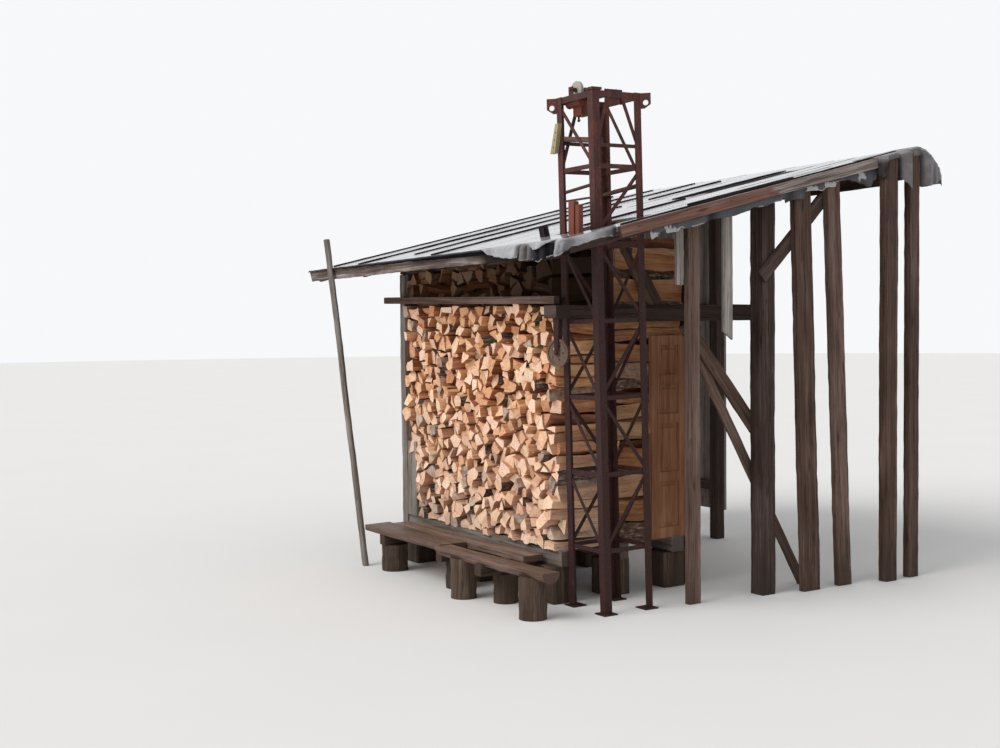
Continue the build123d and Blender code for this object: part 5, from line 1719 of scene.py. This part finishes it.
@dataclass
class VergeStrip:
    """Felt that hangs below the brown fascia, torn and folded along its edge.

    Each station gives a place up the verge and how far the strip falls there; each patch gives
    two such places and the two levels between which the felt's torn back shows. The strip lies
    flat as far down as it is nailed.
    """

    x: float = 0.7025
    nailed: float = 0.050
    fringe: float = 0.005
    columns: int = 520
    rows: int = 14
    stations: tuple[tuple[float, float], ...] = (
        (0.250, 0.075), (0.268, 0.137), (0.300, 0.128), (0.345, 0.104), (0.370, 0.100),
        (0.400, 0.125), (0.470, 0.130), (0.500, 0.112), (0.550, 0.128), (0.700, 0.124),
        (0.800, 0.117), (0.950, 0.131), (1.100, 0.124), (1.150, 0.111), (1.250, 0.122),
        (1.400, 0.118), (1.440, 0.100), (1.455, 0.140), (1.530, 0.134), (1.640, 0.146),
        (1.655, 0.100), (1.750, 0.112), (1.790, 0.128), (1.850, 0.112), (1.930, 0.120),
        (1.950, 0.090), (2.080, 0.100), (2.130, 0.120), (2.200, 0.150), (2.285, 0.190),
        (2.325, 0.152), (2.362, 0.120), (2.368, 0.070))
    patches: tuple[tuple[float, float, float, float], ...] = (
        (0.25, 0.35, 0.085, 0.20), (0.38, 0.50, 0.078, 0.20), (1.66, 1.76, 0.055, 0.15),
        (1.83, 1.94, 0.060, 0.15), (2.18, 2.25, 0.070, 0.12))

    def bare(self, y: float, d: float) -> float:
        """Tell whether the felt's torn back shows.

        Args:
            y: the place up the verge.
            d: the distance below the roof.

        Returns:
            1 where it shows.
        """
        edge = 0.026 * noise.noise(Vector((y * 46.0, d * 46.0, 3.0)))
        for y0, y1, d0, d1 in self.patches:
            slant = 0.35 * (y - y0) * (d1 - d0) / (y1 - y0)
            if y0 + edge < y < y1 - edge and d0 + slant + edge < d < d1 - edge:
                return 1.0
        return 0.0

    def column(self, y: float) -> Column:
        """Hang the strip at one place.

        Args:
            y: the place up the verge.

        Returns:
            The points and their marks, from the roof down.
        """
        length = along(self.stations, y)[0] + 0.006 * jag(y * 0.8, 11.0)
        flap = noise.noise(Vector((y * 7.0, 3.0, 0.0)))
        top = ROOF.at(self.x, y)
        column: Column = []
        for d in spread(0.0, length, self.rows):
            free = max(0.0, d - self.nailed)
            point = top + Vector((free * (0.16 + 0.6 * flap), 0, -d))
            frayed = flap > 0.12 and length - d < self.fringe
            torn = 1.0 if frayed else self.bare(y, d)
            # The second mark darkens the strip where it hangs in close, as painted shade.
            column.append((point, (torn, max(0.0, -1.2 * flap))))
        return column

    def build(self) -> bpy.types.Object:
        """Build the strip."""
        places = spread(self.stations[0][0], self.stations[-1][0], self.columns)
        return hang("felt_verge_sheet", [self.column(y) for y in places], Look.VERGE_FELT,
                    "verge_strip")


@dataclass
class HighFlap:
    """Felt that runs past the high corner, over the outer posts, and falls in broad folds.

    Each station gives a place up the roof, how far out the fold stands, how far below the
    roof's plane the felt turns and ends there, and how dark it is painted with shade in its
    folds; each point of the fall gives a run past the edge and a drop. Each stretch between two
    stations has so many columns. Where the felt hangs down far enough it folds, but not where it
    lies snug.
    """

    edge: float = 2.830
    inner: float = 0.485
    verge: float = 0.703
    snug: float = 0.7125
    lift: float = 0.006
    round_off: float = 0.004
    folds_from: float = 0.1
    each: int = 8
    rows: int = 20
    top_rows: int = 12
    stations: tuple[tuple[float, float, float, float, float], ...] = (
        (2.366, 0.7125, 0.000, 0.060, 0.9), (2.371, 0.735, 0.004, 0.130, 0.7),
        (2.377, 0.772, 0.010, 0.142, 0.6), (2.384, 0.808, 0.016, 0.140, 0.7),
        (2.388, 0.812, 0.004, 0.040, 0.9), (2.396, 0.798, 0.000, 0.024, 0.4),
        (2.440, 0.798, 0.000, 0.022, 0.1), (2.503, 0.798, 0.000, 0.024, 0.3),
        (2.507, 0.794, 0.002, 0.050, 0.9), (2.512, 0.762, 0.006, 0.172, 0.9),
        (2.530, 0.776, 0.010, 0.182, 0.8), (2.552, 0.800, 0.020, 0.200, 0.1),
        (2.590, 0.808, 0.022, 0.226, 0.0), (2.630, 0.808, 0.016, 0.272, 0.0),
        (2.646, 0.800, 0.010, 0.296, 0.2), (2.654, 0.780, 0.004, 0.262, 0.9),
        (2.657, 0.786, 0.000, 0.060, 0.9), (2.700, 0.783, 0.000, 0.044, 0.1),
        (2.756, 0.783, 0.000, 0.050, 0.4), (2.761, 0.758, 0.010, 0.262, 0.9),
        (2.780, 0.776, 0.026, 0.288, 0.6), (2.810, 0.796, 0.048, 0.292, 0.0),
        (2.850, 0.796, 0.080, 0.294, 0.0), (2.920, 0.782, 0.133, 0.296, 0.2),
        (2.950, 0.774, 0.155, 0.294, 0.0), (3.000, 0.750, 0.187, 0.290, 0.4),
        (3.060, 0.724, 0.235, 0.286, 0.1), (3.082, 0.712, 0.262, 0.276, 0.3))
    fall: tuple[tuple[float, float], ...] = (
        (0.0, 0.0), (0.030, 0.018), (0.060, 0.045), (0.090, 0.074), (0.130, 0.104),
        (0.170, 0.130), (0.210, 0.165), (0.236, 0.205), (0.252, 0.265))

    def ridge(self, x: float, y: float) -> Vector:
        """Give the top of the felt at a place, also past the roof's high edge.

        Args:
            x: the place across.
            y: the place up the roof.

        Returns:
            The point.
        """
        past = y - self.edge
        if past <= 0:
            return ROOF.at(x, y, self.lift)
        low = [pair for pair in self.fall if pair[0] <= past][-1]
        high = [pair for pair in self.fall if pair[0] > past] or [self.fall[-1]]
        span = max(1e-6, high[0][0] - low[0])
        drop = low[1] + (high[0][1] - low[1]) * (past - low[0]) / span
        return ROOF.at(x, self.edge, self.lift) + Vector((0, past, -drop))

    def bent(self, x: float, y: float, turned: float) -> Vector:
        """Give the top of the felt at a place where it is bent down.

        Args:
            x: the place across.
            y: the place up the roof.
            turned: how far below the roof's plane it is.

        Returns:
            The point.
        """
        point = self.ridge(x, y)
        point.z = min(point.z, ROOF.at(x, y, self.lift).z - turned)
        return point

    def column(self, y: float) -> Column:
        """Run the felt over the roof and down, at one place.

        Args:
            y: the place up the roof.

        Returns:
            The points and their marks, from the roof down.
        """
        out, turned, below, stain_and_shade = along(self.stations, y)
        swell = noise.noise(Vector((y * 9.0, 2.0, 0.0)))
        column: Column = []
        for x in spread(self.inner, out - self.round_off, self.top_rows)[:-1]:
            past = max(0.0, x - self.verge) / max(0.01, out - self.verge)
            column.append((self.bent(x, y, turned * past), (0.0, 0.0)))
        ridge = self.bent(out, y, turned)
        below += 0.006 * jag(y, 21.0)
        length = max(0.012, ridge.z - ROOF.at(out, y).z + below)
        loose = min(1.0, abs(out - self.snug) / 0.05)
        for k, d in enumerate(spread(0.0, length, self.rows)):
            t = k / self.rows
            point = ridge - Vector((0, 0, self.round_off + d))
            if below > self.folds_from:
                fold = math.sin(y * 62 + t * 1.5) * 0.006 + 0.010 * swell
                point.x += fold * t * loose
                point.y += 0.010 * noise.noise(Vector((y * 8, t * 2, 5.0))) * t
            column.append((point, (0.0, stain_and_shade * min(1.0, d / 0.04))))
        return column

    def build(self) -> bpy.types.Object:
        """Build the flap as its top and its hanging side, in one sheet."""
        places = []
        for (low, *_), (high, *_) in zip(self.stations, self.stations[1:]):
            places += spread(low, high, self.each)[:-1]
        places.append(self.stations[-1][0])
        return hang("felt_flap_high_sheet", [self.column(y) for y in places], Look.LOOSE_FELT,
                    "felt_flap_high")


# Studio


@dataclass
class Studio:
    """Floor, lights, sky and camera."""

    eye: Vector = field(default_factory=lambda: Vector((7.3815, -5.2038, 1.9652)))
    azimuth: float = 57.2061
    pitch: float = 2.4412
    roll: float = -0.5616
    lens: float = 47.82
    sky: float = 0.62
    key: float = 1.9

    def floor(self) -> None:
        """Lay a broad pale floor."""
        bpy.ops.mesh.primitive_circle_add(vertices=96, radius=60, fill_type="NGON")
        floor = bpy.context.object
        floor.name = "studio_floor"
        floor.data.materials.append(PAINT.get(Look.FLOOR))

    def world(self) -> None:
        """Give an even sky that the camera and reflections see as near white."""
        world = bpy.data.worlds.new("studio_sky")
        bpy.context.scene.world = world
        world.use_nodes = True
        tree = world.node_tree
        tree.nodes.clear()
        rays = tree.nodes.new("ShaderNodeLightPath")
        first = tree.nodes.new("ShaderNodeMath")
        first.operation = "MAXIMUM"
        second = tree.nodes.new("ShaderNodeMath")
        second.operation = "MAXIMUM"
        lit = tree.nodes.new("ShaderNodeBackground")
        lit.inputs["Color"].default_value = (0.97, 0.985, 1.0, 1.0)
        lit.inputs["Strength"].default_value = self.sky
        seen = tree.nodes.new("ShaderNodeBackground")
        seen.inputs["Color"].default_value = (0.93, 0.94, 0.96, 1.0)
        seen.inputs["Strength"].default_value = 1.0
        blend = tree.nodes.new("ShaderNodeMixShader")
        out = tree.nodes.new("ShaderNodeOutputWorld")
        join = tree.links.new
        join(rays.outputs["Is Camera Ray"], first.inputs[0])
        join(rays.outputs["Is Glossy Ray"], first.inputs[1])
        join(first.outputs[0], second.inputs[0])
        join(rays.outputs["Is Transmission Ray"], second.inputs[1])
        join(second.outputs[0], blend.inputs[0])
        join(lit.outputs[0], blend.inputs[1])
        join(seen.outputs[0], blend.inputs[2])
        join(blend.outputs[0], out.inputs[0])

    def lights(self) -> None:
        """Add one broad soft light from the front left, high up."""
        lamp = bpy.data.lights.new("soft_key", "SUN")
        lamp.energy = self.key
        lamp.angle = math.radians(40)
        lamp.color = (1.0, 0.985, 0.96)
        holder = new_object("soft_key", lamp)
        holder.rotation_euler = Vector((0.10, 1.0, -0.95)).to_track_quat("-Z", "Y").to_euler()

    def camera(self) -> None:
        """Stand the camera where the photograph was taken."""
        az, pitch, roll = (math.radians(a) for a in (self.azimuth, self.pitch, self.roll))
        ahead = Vector((-math.sin(az) * math.cos(pitch), math.cos(az) * math.cos(pitch),
                        -math.sin(pitch)))
        right = ahead.cross(Vector((0, 0, 1))).normalized()
        up = right.cross(ahead)
        across = right * math.cos(roll) + up * math.sin(roll)
        over = up * math.cos(roll) - right * math.sin(roll)
        turn = Matrix((across, over, -ahead)).transposed().to_4x4()
        data = bpy.data.cameras.new("photo_camera")
        data.lens = self.lens
        data.sensor_width = 36
        data.clip_end = 200
        camera = new_object("photo_camera", data)
        camera.matrix_world = Matrix.Translation(self.eye) @ turn
        bpy.context.scene.camera = camera

    def build(self) -> None:
        """Build the whole studio."""
        self.floor()
        self.world()
        self.lights()
        self.camera()
        bpy.context.scene.view_settings.view_transform = "Standard"


def main() -> None:
    """Build the classes in order and report each piece."""
    logging.basicConfig(level=logging.INFO, format="%(message)s")
    noise.seed_set(NOISE_SEED)
    Studio().build()
    for row in ROWS:
        log.info("%s: %d faces", row.name, len(row.build().data.polygons))
    for timber in TIMBERS:
        log.info("%s: %d faces", timber.node, len(timber.build().data.polygons))
    for node, look in STEEL.items():
        paint(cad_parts[node], look)
        log.info("%s: %s", node, look.name)
    for sheet in (RoofFelt(), *FRONT_FLAPS, VergeStrip(), HighFlap()):
        log.info("%s", sheet.build().name)


if __name__ == "__main__":
    main()
